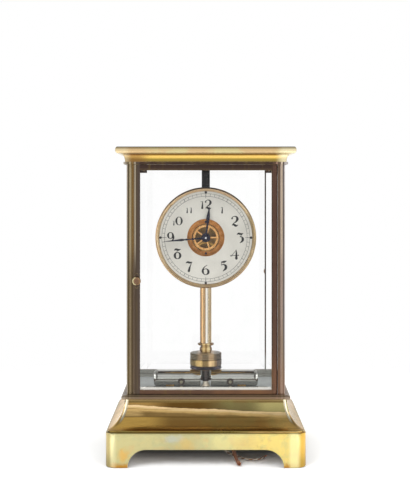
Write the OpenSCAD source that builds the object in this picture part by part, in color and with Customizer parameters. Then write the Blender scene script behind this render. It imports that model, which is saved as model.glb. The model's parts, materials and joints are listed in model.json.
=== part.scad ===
// Crystal regulator clock with a battery-driven pendulum.
// Millimetres. Origin at the centre of the footprint on the table, +Z up, the dial faces -Y.

/* [Base] */
// width of the lower block
base_w = 190; // [184:1:198]
// depth of the lower block
base_d = 167; // [160:1:174]
// height of the lower block
block_h = 33; // [30:0.5:40]
// corner radius of the lower block in plan
block_r = 10; // [8:0.5:14]
// wall of the lower block
block_wall = 4; // [3:0.5:5]
// width of a foot along a side
foot_w = 21.5; // [14:0.5:26]
// height of the arch between the feet
arch_h = 17; // [12:0.5:21]
// height of the concave moulding
cove_h = 28.7; // [24:0.1:36]
// corner radius at the top of the concave moulding
cove_top_r = 4.5; // [2:0.5:6]
// wall of the concave moulding
cove_wall = 3; // [2:0.5:3.5]

/* [Case frame] */
// width over the corner posts
frame_w = 152; // [146:1:156]
// depth over the corner posts
frame_d = 128; // [122:1:134]
// height of the corner posts
frame_h = 220.8; // [214:0.2:240]
// side of a corner post
post_s = 7; // [6.5:0.5:8]
// thickness of the base moulding
moulding_t = 4; // [3.5:0.5:6]
// reach of the base moulding past the posts
moulding_lip = 4.9; // [3.5:0.1:5.5]
// thickness of the floor plate
floor_t = 0.8; // [0.6:0.1:2.5]
// thickness of the ceiling plate
ceiling_t = 2.2; // [2:0.2:3]
// reach of the ceiling plate past the posts
ceiling_lip = 2.7; // [2:0.1:4]
// thickness of a side frame
side_t = 4.7; // [4.5:0.1:5]

/* [Cornice] */
// height of the cornice
cornice_h = 14.4; // [12:0.2:20]
// reach of the cornice past the posts
cornice_reach = 10.2; // [8:0.2:13]

/* [Doors and glass] */
// thickness of a door
door_t = 6; // [5.5:0.5:6.5]
// width of a door stile
stile_w = 5.6; // [5:0.1:7]
// height of the top rail of a frame
top_rail = 5.6; // [4:0.2:7]
// height of the bottom rail of a frame
bottom_rail = 4; // [4:0.5:7]
// gap around a door
door_gap = 0.25; // [0.2:0.05:0.4]
// diameter of a hinge pin
pin_d = 2.2; // [1.8:0.1:2.4]
// diameter of the door knob
knob_d = 8.4; // [6:0.2:9]
// length of the oval rose behind the knob
rose_len = 14.6; // [12:0.2:16]
// height of the knob above the base moulding
knob_up = 109.1; // [60:0.1:150]
// thickness of the glass
glass_t = 3; // [2.4:0.1:3.2]
// width of the bevel on the glass
glass_bevel = 7; // [4:0.5:9]

/* [Dial and movement] */
// radius of the bezel
bezel_r = 49.6; // [48.6:0.2:54]
// height of the dial centre above the base moulding
dial_up = 149.4; // [143:0.1:151]
// radius of the opening in the dial
dial_eye_r = 18.4; // [16.4:0.2:22]
// thickness of a movement plate
plate_t = 2; // [1.5:0.25:2.5]
// space between the movement plates
plate_gap = 11.3; // [11:0.1:12.5]
// width of the hanger bar
hanger_w = 8; // [6:0.5:12]

/* [Hands] */
// length of the minute hand
minute_len = 41.5; // [34:0.5:43]
// length of the hour hand
hour_len = 31; // [24:0.5:33]
// angle of the minute hand, clockwise from the top
minute_at = 264.9; // [0:0.1:360]
// angle of the hour hand, clockwise from the top
hour_at = 6.6; // [0:0.1:360]

/* [Pendulum] */
// diameter of the pendulum rod
rod_d = 11.6; // [8:0.2:13]
// diameter of the bob
bob_d = 32; // [26:0.5:36]
// height of the lower ring of the bob
bob_h = 6.5; // [5:0.5:10]
// height of the rating nut
nut_h = 6.2; // [4:0.2:8]
// thickness of the iron disc under the bob
disc_t = 3.2; // [1.2:0.1:3.6]
// air gap between the iron disc and the electromagnet
air_gap = 1.3; // [1.2:0.1:2]
// plane of the pendulum, behind (plus) or before (minus) the case centre
pend_y = -5; // [-6:0.5:0]

/* [Electromagnet] */
// radius of a coil tube
coil_r = 8.9; // [8:0.1:10.5]
// length over both coil tubes
coil_span = 105; // [90:1:110]
// diameter of the centre post
pole_d = 7.8; // [6.5:0.2:9]
// height of the ivory foot
ivory_h = 6.4; // [5.5:0.1:6.5]

/* [Leads] */
// diameter of the brown lead
brown_d = 4; // [3:0.2:4.2]
// diameter of the braided lead
braid_d = 2.8; // [2.4:0.2:3]

/* [Hidden] */
$fn = 96;
cut = 1;
run = 0.05;
arc_n = 6;

// heights of the layers of the case
z_cove = block_h;
z_mould = z_cove + cove_h;
z_frame = z_mould + moulding_t;
z_ceil = z_frame + frame_h;
z_corn = z_ceil + ceiling_t;
z_top = z_corn + cornice_h;
z_floor = z_mould + floor_t;

// half sizes of the case in plan
fw = frame_w / 2;
fd = frame_d / 2;
bw = base_w / 2;
bd = base_d / 2;
floor_in = post_s - 0.5;
ledge = 5;
flange_t = 2.5;
cove_in = 1.5;
mould_in = 2.9;
cove_top = moulding_lip - mould_in;

// screws that hold the posts between moulding and ceiling
post_screw_in = 4.5;
screw_r = 1.3;
screw_head_r = 2.2;
screw_head_h = 1.4;
screw_grip = 8;

// doors
dw = fw - post_s - door_gap;
door_z0 = z_frame + door_gap;
door_z1 = z_ceil - door_gap;
open_x = dw - stile_w;
open_z0 = door_z0 + bottom_rail;
open_z1 = door_z1 - top_rail;
hinge_in = door_t / 2;
hinge_x = dw - hinge_in;
groove = 1.6;
groove_w = 2;
glass_edge = 1.4;
glass_back = 1.4;
glass_play = 0.2;
pin_grip = bottom_rail - groove - 0.4;
pin_run = 1.7;
spindle_r = 0.9;
rose_t = 0.7;
knob_in = 2.5;
knob_x = dw - knob_in;
knob_z = z_frame + knob_up;
tongue_gap = 0.3;
tongue_t = 1.2;
tongue_w = 2.6;
side_set = 0.3;
side_in = fw - side_t - side_set;
tongue_len = side_in - tongue_gap - knob_x;

// side frames
side_len = frame_d / 2 - post_s;
side_back = 0.7;

// movement: depths are measured forward from the case centre plane
dial_z = z_frame + dial_up;
bezel_lip = 3.9;
dial_r = bezel_r - 2.3;
dial_t = 1;
band_r = dial_r;
band_t = 1.6;
back_at = 16.5;
gap_at = back_at + plate_t;
front_at = gap_at + plate_gap;
work_at = front_at + plate_t;
dial_at = work_at + 4.2;
bezel_at = dial_at - 1;
bezel_h = 5;
pillar_at = [65, 165, 245, 345];
pillar_in = 7;
pillar_d = 4;
tap_deep = 4;
screw_in = 3.5;

// wheels
motion_m = 0.525;
cannon_n = 15;
minute_n = 45;
minute_pinion_n = 12;
hour_n = 48;
motion_a = motion_m * (cannon_n + minute_n) / 2;
train_m1 = 0.4;
train_m2 = 0.42;
leaf_n = 10;
inter_n = 80;
centre_n = 75;
count_n = 75;
count_r = 10;
count_up = 17.6;
pressure = 25;
addendum = 0.8;
dedendum = 1.1;
backlash = 0.12;
train_a1 = train_m1 * (leaf_n + inter_n) / 2;
train_a2 = train_m2 * (leaf_n + centre_n) / 2;
inter_y = (train_a2 * train_a2 - train_a1 * train_a1 + count_up * count_up) / (2 * count_up);
inter_x = -sqrt(train_a2 * train_a2 - inter_y * inter_y);
arbor_r = 0.9;
cannon_r = 2.1;
pipe_r = 3;
pipe_in = cannon_r + 0.1;
hour_at_z = dial_at + dial_t + 3.4;
minute_at_z = hour_at_z + 2.4;
hand_t = 0.6;
count_at = back_at - 2.2;
count_t = 1;
eye_gap = 0.6;
spoke_w = 1.4;

// electromagnet
coil_lift = 0.3;
coil_z = z_floor + coil_lift + coil_r;
coil_x1 = coil_span / 2;
pole_r = pole_d / 2;
coil_gap = 1.3;
coil_x0 = pole_r + coil_gap;
coil_dome = 4;
coil_wall = 0.7;
core_r = 2.2;
term_x = 24.5;
term_drop = 2;
term_r = 3.4;
saddle_x = 36;
saddle_w = 8;
ivory_top = 2.6;
ivory_r = 5.1;

// pendulum and its suspension
hang_foot_t = 4;
spring_t = 0.3;
spring_w = 8;
spring_half = 5;
spring_in = 2;
strap_t = 2;
strap_w = 8;
strap_len = 28;
clamp_h = 8;
clamp_in = 1;
pawl_x = 10;
pawl_over = 1.6;
pawl_clear = 0.4;
pawl_up = count_up + count_r + pawl_over;
arm_h = 3;
arm_gap = 0.1;
susp_z = dial_z + pawl_up + arm_h / 2 + arm_gap + clamp_h + spring_half - clamp_in;
rod_top = susp_z - strap_len;
rod_wall = 0.6;
plug_h = 8;
contact_drop = 7;
contact_x = 14;
contact_w = 5;
contact_h = 7;
contact_reach = 3;
contact_z = susp_z - contact_drop;
disc_z = z_floor + coil_lift + 2 * coil_r + air_gap;
bob_z = disc_z + disc_t;
nut_z = bob_z + bob_h;
nut_gap = 0.15;
nut_groove = 0.6;
ferr_z = nut_z + nut_h + nut_gap;
ferr_h = 9.5;
stem_r = 3;
bob_r = bob_d / 2;
rod_r = rod_d / 2;

// leads: points chosen by hand, on the way from the terminal down to the table
post_drop = 12;
lead_top = z_mould - post_drop;
brown_at = [20, -26];
braid_at = [10, -16];
brown_route = [
    [20, -26, lead_top], [20, -26, lead_top - 4.5], [20, -26.5, lead_top - 9], [20.2, -28, lead_top - 14],
    [20.8, -31, lead_top - 19], [21.6, -35, 27], [22.6, -39.5, 23], [23.6, -44, 19.4], [24.8, -48.5, 16],
    [26, -53, 12.8], [27.1, -57.5, 9.8], [28.2, -62, 7.2], [29.2, -66, 5], [30.2, -70, 3.4],
    [31, -73, 2.5], [31.6, -75.5, 2.2]
];
braid_route = [
    [10, -16, lead_top], [10, -16, lead_top - 4], [10, -16, lead_top - 8.5], [9.9, -15.6, lead_top - 13.5],
    [9.9, -15.2, lead_top - 18.5], [10.1, -15.1, 27], [10.6, -15.4, 22], [11.5, -16.2, 17],
    [13, -17.8, 12.3], [15, -20, 8.2], [17.5, -23, 5], [20.5, -26.8, 2.8], [23.5, -31, 1.7],
    [26.5, -36, 1.6], [29.5, -41.5, 1.6], [33, -47, 1.6], [37, -52, 1.6], [41.5, -55.5, 1.6],
    [46.5, -56.8, 1.6], [51, -55, 1.6], [54.5, -51, 1.6], [57, -46, 1.6]
];

// points of an arc
function arc(c, rx, ry, a0, a1, n = arc_n) =
    [for (i = [0:n]) let (a = a0 + (a1 - a0) * i / n) [c[0] + rx * cos(a), c[1] + ry * sin(a)]];

// points of a rectangle with rounded corners at one height
function ring(p, n) =
    [for (q = [0:3]) for (i = [0:n])
        let (a = 90 * q + 90 * i / n, r = p[2])
        [(q == 0 || q == 3 ? 1 : -1) * (p[0] - r) + r * cos(a),
         (q < 2 ? 1 : -1) * (p[1] - r) + r * sin(a), p[3]]];

// skin over rings of points: closed goes back to the first ring, open gets two caps
module skin(rings, closed) {
    n = len(rings[0]);
    m = len(rings);
    last = closed ? m - 1 : m - 2;
    pts = [for (r = rings) for (p = r) p];
    sides = [for (i = [0:last]) for (j = [0:n - 1])
        let (a = i * n + j, b = i * n + (j + 1) % n, k = (i + 1) % m, d = k * n + j, c = k * n + (j + 1) % n)
        each [[a, d, c], [a, c, b]]];
    caps = closed ? [] : [[for (j = [0:n - 1]) j], [for (j = [n - 1:-1:0]) (m - 1) * n + j]];
    polyhedron(points = pts, faces = concat(sides, caps));
}

// rings given as half width, half depth, corner radius and height
module loft(levels, closed = false, n = arc_n) {
    skin([for (p = levels) ring(p, n)], closed);
}

// turned piece: profile as radius and height
module turned(profile) {
    rotate_extrude() polygon(profile);
}

// moves a piece drawn with its axis along Z to the dial centre, axis pointing forward
module at_dial(x = 0, y = 0) {
    translate([x, 0, dial_z + y]) rotate([90, 0, 0]) children();
}

// moves a piece drawn for the front door to the rear door
module at_rear() {
    rotate([0, 0, 180]) children();
}

// the places of the four post screws
module at_posts() {
    for (sx = [-1, 1]) for (sy = [-1, 1])
        translate([sx * (fw - post_screw_in), sy * (fd - post_screw_in), 0]) children();
}

module rod(r, z0, z1) {
    translate([0, 0, z0]) cylinder(r = r, h = z1 - z0);
}

// opening between two feet, seen from the side
module arch(half, depth) {
    rotate([90, 0, 0]) linear_extrude(height = depth, center = true)
        polygon(concat(
            [[half, -cut]],
            arc([half - arch_h, 0], arch_h, arch_h, 0, 90, 10),
            arc([arch_h - half, 0], arch_h, arch_h, 90, 180, 10),
            [[-half, -cut]]));
}

// Base

module base_block() {
    soft = 1.2;
    color("#c9a84e") difference() {
        loft([
            [bw - soft, bd - soft, block_r - soft, 0],
            [bw - soft * 0.3, bd - soft * 0.3, block_r - soft * 0.3, soft * 0.3],
            [bw, bd, block_r, soft],
            [bw, bd, block_r, block_h - soft],
            [bw - soft * 0.3, bd - soft * 0.3, block_r - soft * 0.3, block_h - soft * 0.3],
            [bw - soft, bd - soft, block_r - soft, block_h],
            [bw - block_wall, bd - block_wall, block_r - block_wall, block_h],
            [bw - block_wall, bd - block_wall, block_r - block_wall, 0]
        ], true);
        arch(bw - foot_w, base_d + 20);
        rotate([0, 0, 90]) arch(bd - foot_w, base_w + 20);
    }
}

// share of the way out (0 at the top, 1 at the bottom) and down the concave moulding
cove_turn = 78;
cove_lip = 1.6;
cove_n = 12;
function cove_out(i) = (1 - cos(cove_turn * i / cove_n)) / (1 - cos(cove_turn));
function cove_down(i) = sin(cove_turn * i / cove_n) / sin(cove_turn);
function cove_level(i, skin_in) =
    let (s = cove_out(i), tw = fw + cove_top, td = fd + cove_top)
    [tw + (bw - cove_in - tw) * s - skin_in, td + (bd - cove_in - td) * s - skin_in,
     max(0.4, cove_top_r + (block_r - cove_in - cove_top_r) * s - skin_in / 2),
     z_mould - (cove_h - cove_lip) * cove_down(i)];

module base_cove() {
    lip = 1.1;
    rb = block_r - cove_in;
    fx = fw - floor_in - ledge;
    fy = fd - floor_in - ledge;
    under = [for (i = [2:2:cove_n]) cove_level(i, cove_wall)];
    top_in = cove_level(0, cove_wall);
    color("#b98b35") difference() {
        loft(concat(
            [[bw - cove_in - lip, bd - cove_in - lip, rb - lip, z_cove],
             [bw - cove_in - lip, bd - cove_in - lip, rb - lip, z_cove + cove_lip / 2],
             [bw - cove_in, bd - cove_in, rb, z_cove + cove_lip / 2]],
            [for (i = [cove_n:-1:0]) cove_level(i, 0)],
            [[fx, fy, 0.5, z_mould],
             [fx, fy, 0.5, z_mould - flange_t],
             [top_in[0], top_in[1], 0.5, z_mould - flange_t]],
            [for (p = under) p],
            [[bw - cove_in - lip - cove_wall, bd - cove_in - lip - cove_wall, rb - lip - 1.5, z_cove]]
        ), true);
        at_posts() rod(screw_r, z_mould - flange_t - cut, z_mould + cut);
    }
}

module base_moulding() {
    mw = fw + moulding_lip;
    md = fd + moulding_lip;
    color("#5c4530") difference() {
        loft([
            [mw - 1.1, md - 1.1, 0.6, z_mould],
            [mw - 0.3, md - 0.3, 0.8, z_mould + moulding_t * 0.15],
            [mw, md, 0.9, z_mould + moulding_t * 0.4],
            [mw - 0.4, md - 0.4, 0.8, z_mould + moulding_t * 0.65],
            [mw - 1.6, md - 1.6, 0.6, z_mould + moulding_t * 0.75],
            [mw - 2, md - 2, 0.6, z_frame],
            [fw - floor_in, fd - floor_in, 0.6, z_frame],
            [fw - floor_in, fd - floor_in, 0.6, z_mould]
        ], true, 2);
        at_posts() rod(screw_r, z_mould - cut, z_frame + cut);
        for (a = [0, 180]) rotate([0, 0, a]) translate([hinge_x, hinge_in - fd, 0])
            rod(pin_d / 2 + run, z_frame - pin_run - door_gap, z_frame + cut);
    }
}

module floor_plate() {
    play = 0.1;
    color("#b4b2aa") translate([floor_in + play - fw, floor_in + play - fd, z_mould])
        cube([2 * (fw - floor_in - play), 2 * (fd - floor_in - play), floor_t]);
}

// Case frame

// corner post in plan, from its outer corner inward: a bead, a flute and a fillet on both faces
module post_plan() {
    bead = 2.1;
    flute = 0.8;
    polygon(concat(
        arc([bead, bead], bead, bead, 180, 270),
        [[3, 0], [3.4, flute], [post_s - 1.5, flute], [post_s - 1.1, 0], [post_s, 0], [post_s, post_s]],
        [[0, post_s], [0, post_s - 1.1], [flute, post_s - 1.5], [flute, 3.4], [0, 3]]));
}

module corner_posts() {
    color("#4a3a32") difference() {
        for (sx = [-1, 1]) for (sy = [-1, 1])
            translate([sx * fw, sy * fd, z_frame])
            mirror([sx > 0 ? 1 : 0, 0, 0]) mirror([0, sy > 0 ? 1 : 0, 0])
            linear_extrude(height = frame_h) post_plan();
        at_posts() rod(screw_r, z_frame - cut, z_frame + screw_grip);
        at_posts() rod(screw_r, z_ceil - screw_grip, z_ceil + cut);
    }
}

// plain frame with a groove for glass, drawn like a front door: outer face at y = 0
module glazed_frame(half, z0, z1, t, back) {
    in_x = half - stile_w;
    in_z0 = z0 + bottom_rail;
    in_z1 = z1 - top_rail;
    difference() {
        translate([-half, 0, z0]) cube([2 * half, t, z1 - z0]);
        translate([-in_x, -cut, in_z0]) cube([2 * in_x, t + 2 * cut, in_z1 - in_z0]);
        translate([-in_x - groove, t - back - groove_w, in_z0 - groove])
            cube([2 * (in_x + groove), groove_w, in_z1 - in_z0 + 2 * groove]);
    }
}

// bevelled glass for the same frame
module glazing(half, z0, z1, t, back) {
    gw = half - stile_w + groove - glass_play;
    gh = (z1 - z0 - bottom_rail - top_rail) / 2 + groove - glass_play;
    mid = (z0 + bottom_rail + z1 - top_rail) / 2;
    translate([0, t - back, mid]) rotate([90, 0, 0]) loft([
        [gw, gh, 0.6, 0],
        [gw, gh, 0.6, glass_edge],
        [gw - glass_bevel, gh - glass_bevel, 0.6, glass_t]
    ], false, 2);
}

// turns a piece drawn with its outer face at y = 0 to the left side
module to_left() {
    rotate([0, 0, -90]) translate([0, side_set - fw, 0]) children();
}

module to_right() {
    rotate([0, 0, 180]) to_left() children();
}

module side_frame_left() {
    color("#4a3a32") to_left() glazed_frame(side_len, z_frame, z_ceil, side_t, side_back);
}

module side_frame_right() {
    color("#4a3a32") to_right() glazed_frame(side_len, z_frame, z_ceil, side_t, side_back);
}

module side_glass_left() {
    color("#dfe8ea", 0.3) to_left() glazing(side_len, z_frame, z_ceil, side_t, side_back);
}

module side_glass_right() {
    color("#dfe8ea", 0.3) to_right() glazing(side_len, z_frame, z_ceil, side_t, side_back);
}

module ceiling_plate() {
    color("#4a3a32") difference() {
        translate([-fw - ceiling_lip, -fd - ceiling_lip, z_ceil])
            cube([2 * (fw + ceiling_lip), 2 * (fd + ceiling_lip), ceiling_t]);
        at_posts() rod(screw_r, z_ceil - cut, z_corn + cut);
        for (a = [0, 180]) rotate([0, 0, a]) translate([hinge_x, hinge_in - fd, 0])
            rod(pin_d / 2 + run, z_ceil - cut, z_ceil + pin_run + door_gap);
        at_hanger_screws() rod(screw_r, z_ceil - cut, z_corn + cut);
    }
}

// Cornice: a cavetto, a step and a bead, hollow below
module cornice() {
    low = 1.4;
    step = 4.3;
    cav_n = 8;
    bead_n = 8;
    bead_h = cornice_h * 0.43;
    cav_h = cornice_h - bead_h;
    mid_z = z_top - bead_h / 2;
    roof = 2;
    cave_in = 1.2;
    cavetto = [for (i = [0:cav_n]) let (a = 80 * i / cav_n)
        let (o = low + (step - low) * (1 - cos(a)) / (1 - cos(80)))
        [fw + o, fd + o, 0.5, z_corn + (cav_h - 0.5) * sin(a) / sin(80)]];
    bead = [for (i = [0:bead_n]) let (a = -70 + 140 * i / bead_n)
        let (o = cornice_reach - 2.2 + 2.2 * cos(a))
        [fw + o, fd + o, 0.7, mid_z + (bead_h / 2) * sin(a) / sin(70)]];
    color("#c9a84e") difference() {
        loft(concat(
            cavetto,
            [[fw + step + 1, fd + step + 1, 0.5, z_corn + cav_h - 0.5],
             [fw + step + 1, fd + step + 1, 0.5, z_corn + cav_h]],
            bead), false, 2);
        translate([cave_in - fw, cave_in - fd, z_corn - cut])
            cube([2 * (fw - cave_in), 2 * (fd - cave_in), cornice_h - roof + cut]);
    }
}

module post_screw(z0, up) {
    translate([0, 0, z0]) mirror([0, 0, up > 0 ? 0 : 1]) turned([
        [0, -screw_head_h], [screw_head_r - 0.4, -screw_head_h], [screw_head_r, 0.4 - screw_head_h],
        [screw_head_r, 0], [screw_r, 0], [screw_r, abs(up)], [0, abs(up)]]);
}

module case_screws() {
    color("#8a7a5a") at_posts() {
        post_screw(z_mould - flange_t, flange_t + moulding_t + screw_grip - 0.5);
        post_screw(z_corn, -(ceiling_t + screw_grip - 0.5));
    }
    color("#8a7a5a") at_hanger_screws() post_screw(z_corn, -(ceiling_t + hang_foot_t));
}

// Doors

module door_frame() {
    color("#4a3a32") difference() {
        union() {
            translate([-dw, 0, door_z0]) cube([stile_w, door_t, door_z1 - door_z0]);
            translate([-dw, 0, door_z0]) cube([dw + open_x, door_t, bottom_rail]);
            translate([-dw, 0, open_z1]) cube([dw + open_x, door_t, top_rail]);
            translate([0, 0, door_z0]) linear_extrude(height = door_z1 - door_z0) polygon(concat(
                [[open_x, door_t], [open_x, 0]],
                arc([hinge_x, hinge_in], hinge_in, hinge_in, -90, 90, 12)));
            translate([-knob_x, cut, knob_z]) rotate([90, 0, 0]) linear_extrude(height = rose_t + cut)
                polygon(arc([0, 0], knob_in, rose_len / 2, 0, 345, 23));
        }
        translate([-open_x - groove, door_t - glass_back - groove_w, open_z0 - groove])
            cube([2 * (open_x + groove), groove_w, open_z1 - open_z0 + 2 * groove]);
        translate([hinge_x, hinge_in, 0]) rod(pin_d / 2, door_z0 - cut, door_z0 + pin_grip);
        translate([hinge_x, hinge_in, 0]) rod(pin_d / 2, door_z1 - pin_grip, door_z1 + cut);
        translate([-knob_x, door_t / 2, knob_z]) rotate([90, 0, 0])
            cylinder(r = spindle_r + run, h = door_t + 2 * (rose_t + cut), center = true);
    }
}

module door_pins() {
    color("#8f8f8c") translate([hinge_x, hinge_in, 0]) {
        rod(pin_d / 2, z_frame - pin_run, door_z0 + pin_grip);
        rod(pin_d / 2, door_z1 - pin_grip, z_ceil + pin_run);
    }
}

// knob, spindle and tongue that turn together; the tongue hangs down when it is let go
module door_latch() {
    kr = knob_d / 2;
    foot = rose_t + 0.15;
    back = post_s - door_t + tongue_gap;
    color("#c8a050") translate([-knob_x, 0, knob_z]) {
        rotate([90, 0, 0]) turned([
            [0, -door_t - back - tongue_t], [spindle_r, -door_t - back - tongue_t], [spindle_r, foot],
            [kr * 0.55, foot], [kr * 0.55, foot + 0.4], [kr * 0.45, foot + 0.9], [kr * 0.45, foot + 1.5],
            [kr * 0.9, foot + 2.2], [kr, foot + 2.9], [kr * 0.94, foot + 3.5], [kr * 0.78, foot + 3.8],
            [kr * 0.62, foot + 3.4], [0, foot + 3.2]]);
        translate([-tongue_w / 2, door_t + back, -tongue_len])
            cube([tongue_w, tongue_t, tongue_len + tongue_w / 2]);
    }
}

module at_front() {
    translate([0, -fd, 0]) children();
}

module door_glass() {
    color("#dfe8ea", 0.3) glazing(dw, door_z0, door_z1, door_t, glass_back);
}

module front_door() {
    at_front() door_frame();
}

module front_glass() {
    at_front() door_glass();
}

module front_pins() {
    at_front() door_pins();
}

module front_latch() {
    at_front() door_latch();
}

module rear_door() {
    at_rear() at_front() door_frame();
}

module rear_glass() {
    at_rear() at_front() door_glass();
}

module rear_pins() {
    at_rear() at_front() door_pins();
}

module rear_latch() {
    at_rear() at_front() door_latch();
}

// Hanger between the ceiling and the movement; its foot also clamps the suspension spring

hang_y0 = -dial_at + 3;
hang_y1 = -back_at - 1;
foot_w2 = 13;
foot_y0 = hang_y0 - 3;
foot_y1 = pend_y + spring_w / 2 + 2;

module at_hanger_screws() {
    for (sx = [-1, 1]) translate([sx * (foot_w2 - 4), hang_y1 - 4, 0]) children();
}

module hanger() {
    grip_z = susp_z + spring_half - clamp_in;
    color("#3a3230") difference() {
        union() {
            translate([-foot_w2, foot_y0, z_ceil - hang_foot_t])
                cube([2 * foot_w2, foot_y1 - foot_y0, hang_foot_t]);
            translate([-hanger_w / 2, hang_y0, dial_z])
                cube([hanger_w, hang_y1 - hang_y0, z_ceil - hang_foot_t - dial_z + cut]);
            translate([-hanger_w / 2, pend_y - spring_w / 2 - 1, grip_z])
                cube([hanger_w, spring_w + 2, z_ceil - hang_foot_t - grip_z + cut]);
        }
        at_dial() rod(band_r, back_at - cut, dial_at + cut);
        translate([-spring_t / 2, pend_y - spring_w / 2, grip_z - cut])
            cube([spring_t, spring_w, clamp_in + spring_in + cut]);
        at_hanger_screws() rod(screw_r, z_ceil - hang_foot_t - cut, z_ceil + cut);
    }
}

// Movement case and plates

module movement_band() {
    color("#b8923c") at_dial() difference() {
        rod(band_r, back_at, dial_at);
        rod(band_r - band_t, back_at - cut, dial_at + cut);
    }
}

module bezel() {
    inner = bezel_r - bezel_lip;
    color("#c9a24a") at_dial() turned([
        [dial_r, bezel_at], [bezel_r - 0.4, bezel_at], [bezel_r, bezel_at + 0.5],
        [bezel_r, bezel_at + 2.2], [bezel_r - 0.35, bezel_at + 3.6], [bezel_r - 1, bezel_at + 4.6],
        [bezel_r - 1.6, bezel_at + bezel_h], [bezel_r - 2.2, bezel_at + 4.5],
        [inner, dial_at + dial_t + 0.5], [inner, dial_at + dial_t], [dial_r, dial_at + dial_t]]);
}

module dial() {
    color("#e8e4da") at_dial() difference() {
        rod(dial_r, dial_at, dial_at + dial_t);
        rod(dial_eye_r, dial_at - cut, dial_at + dial_t + cut);
    }
}

// dished copper ring that lines the opening in the dial
module eye_ring() {
    r0 = dial_eye_r;
    r1 = motion_m * hour_n / 2 + addendum * motion_m + eye_gap;
    zf = dial_at + dial_t + 0.15;
    color("#8a5a3a") at_dial() turned([
        [r0, dial_at], [r0, zf], [r0 - 0.5, zf], [r0 - 0.9, zf - 0.3], [(r0 + r1) / 2 + 0.3, dial_at + 0.45],
        [(r0 + r1) / 2, dial_at + 0.25], [r1 + 0.3, dial_at], [r1, dial_at - 0.1], [r1, dial_at - 0.5],
        [r0 - 1.5, dial_at]]);
}

module at_pillars() {
    for (a = pillar_at) rotate([0, 0, a]) translate([band_r - pillar_in, 0, 0]) children();
}

module plate(z0) {
    difference() {
        rod(band_r - band_t, z0, z0 + plate_t);
        rod(arbor_r + run, z0 - cut, z0 + plate_t + cut);
        translate([inter_x, inter_y, 0]) rod(arbor_r + run, z0 - cut, z0 + plate_t + cut);
        translate([0, count_up, 0]) rod(arbor_r + run, z0 - cut, z0 + plate_t + cut);
        at_pillars() rod(screw_r, z0 - cut, z0 + plate_t + cut);
    }
}

module front_plate() {
    color("#8a5a3a") at_dial() union() {
        plate(front_at);
        translate([0, -motion_a, 0]) rod(arbor_r, front_at + plate_t / 2, dial_at - 0.8);
    }
}

module back_plate() {
    color("#b8923c") at_dial() plate(back_at);
}

module plate_pillars() {
    color("#b8923c") at_dial() at_pillars() difference() {
        rod(pillar_d / 2, gap_at, front_at);
        rod(screw_r, gap_at - cut, gap_at + tap_deep);
        rod(screw_r, front_at - tap_deep, front_at + cut);
    }
}

module plate_screws() {
    color("#8f8f8c") at_dial() at_pillars() {
        post_screw(back_at, plate_t + screw_in);
        post_screw(work_at, -(plate_t + screw_in));
    }
}

// Wheels

function inv(a) = tan(a) * 180 / PI - a;
function tooth_half(n, m, r) =
    let (rp = n * m / 2, rb = rp * cos(pressure), h = (PI * m - backlash) / (4 * rp) * 180 / PI)
    h + inv(pressure) - (r > rb ? inv(acos(rb / r)) : 0);
function flank(n, m) =
    let (rp = n * m / 2, rr = rp - dedendum * m, rt = rp + addendum * m, r0 = max(rr, rp * cos(pressure)))
    concat(r0 > rr + 0.02 ? [rr] : [], [r0, (r0 + rp) / 2, (rp + rt) / 2, rt]);
function tooth(n, m) =
    let (rs = flank(n, m), k = len(rs) - 1)
    concat([for (r = rs) [r, -tooth_half(n, m, r)]], [for (i = [k:-1:0]) [rs[i], tooth_half(n, m, rs[i])]]);

// toothed disc with a tooth at the given angle
module toothed(n, m, at, z0, z1) {
    pts = [for (k = [0:n - 1]) for (p = tooth(n, m))
        let (a = at + 360 * k / n + p[1]) p[0] * [cos(a), sin(a)]];
    translate([0, 0, z0]) linear_extrude(height = z1 - z0) polygon(pts);
}

// opening between two spokes, from the hub to the rim
function window(r0, r1, spokes) =
    let (h0 = asin(spoke_w / 2 / r0), h1 = asin(spoke_w / 2 / r1), p = 360 / spokes)
    concat(arc([0, 0], r1, r1, h1, p - h1, 10), arc([0, 0], r0, r0, p - h0, h0, 6));

// spoked wheel: a toothed disc with openings between its hub and its rim
module wheel(n, m, at, z0, z1, spokes, spoke_at, rim, hub) {
    rin = n * m / 2 - dedendum * m - rim;
    difference() {
        toothed(n, m, at, z0, z1);
        for (k = [0:spokes - 1]) rotate([0, 0, spoke_at + 360 * k / spokes])
            translate([0, 0, z0 - cut]) linear_extrude(height = z1 - z0 + 2 * cut)
            polygon(window(hub, rin, spokes));
    }
}

module hour_wheel() {
    z0 = work_at + 2.4;
    color("#d8c88a") at_dial() difference() {
        union() {
            wheel(hour_n, motion_m, -90, z0, z0 + 1, 5, 0, 1.6, pipe_r + 1);
            rod(pipe_r, z0, hour_at_z + hand_t);
        }
        rod(pipe_in, z0 - cut, hour_at_z + hand_t + cut);
    }
}

// outline of a hand along +Y: pairs of distance and half width
module blade(p, z0) {
    n = len(p);
    translate([0, 0, z0]) linear_extrude(height = hand_t) polygon(concat(
        [for (q = p) [q[1], q[0]]], [for (i = [n - 1:-1:0]) [-p[i][1], p[i][0]]]));
}

module hour_hand() {
    boss = 4.4;
    l = hour_len;
    color("#20242c") at_dial() rotate([0, 0, -hour_at]) difference() {
        union() {
            rod(boss, hour_at_z, hour_at_z + hand_t);
            blade([[3, 1.1], [0.33 * l, 0.75], [0.42 * l, 0.85], [0.5 * l, 1.35], [0.6 * l, 1.75],
                [0.7 * l, 1.6], [0.82 * l, 0.95], [0.93 * l, 0.5], [l, 0.12]], hour_at_z);
        }
        rod(pipe_r, hour_at_z - cut, hour_at_z + hand_t + cut);
    }
}

seat_r = 1.5;

module cannon_pinion() {
    z0 = work_at + 0.4;
    color("#9a9a96") at_dial() difference() {
        union() {
            toothed(cannon_n, motion_m, -90, z0, z0 + 1.4);
            rod(cannon_r, z0, minute_at_z);
            rod(seat_r, minute_at_z - cut, minute_at_z + hand_t);
        }
        rod(arbor_r + run, z0 - cut, minute_at_z + hand_t + cut);
    }
}

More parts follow.
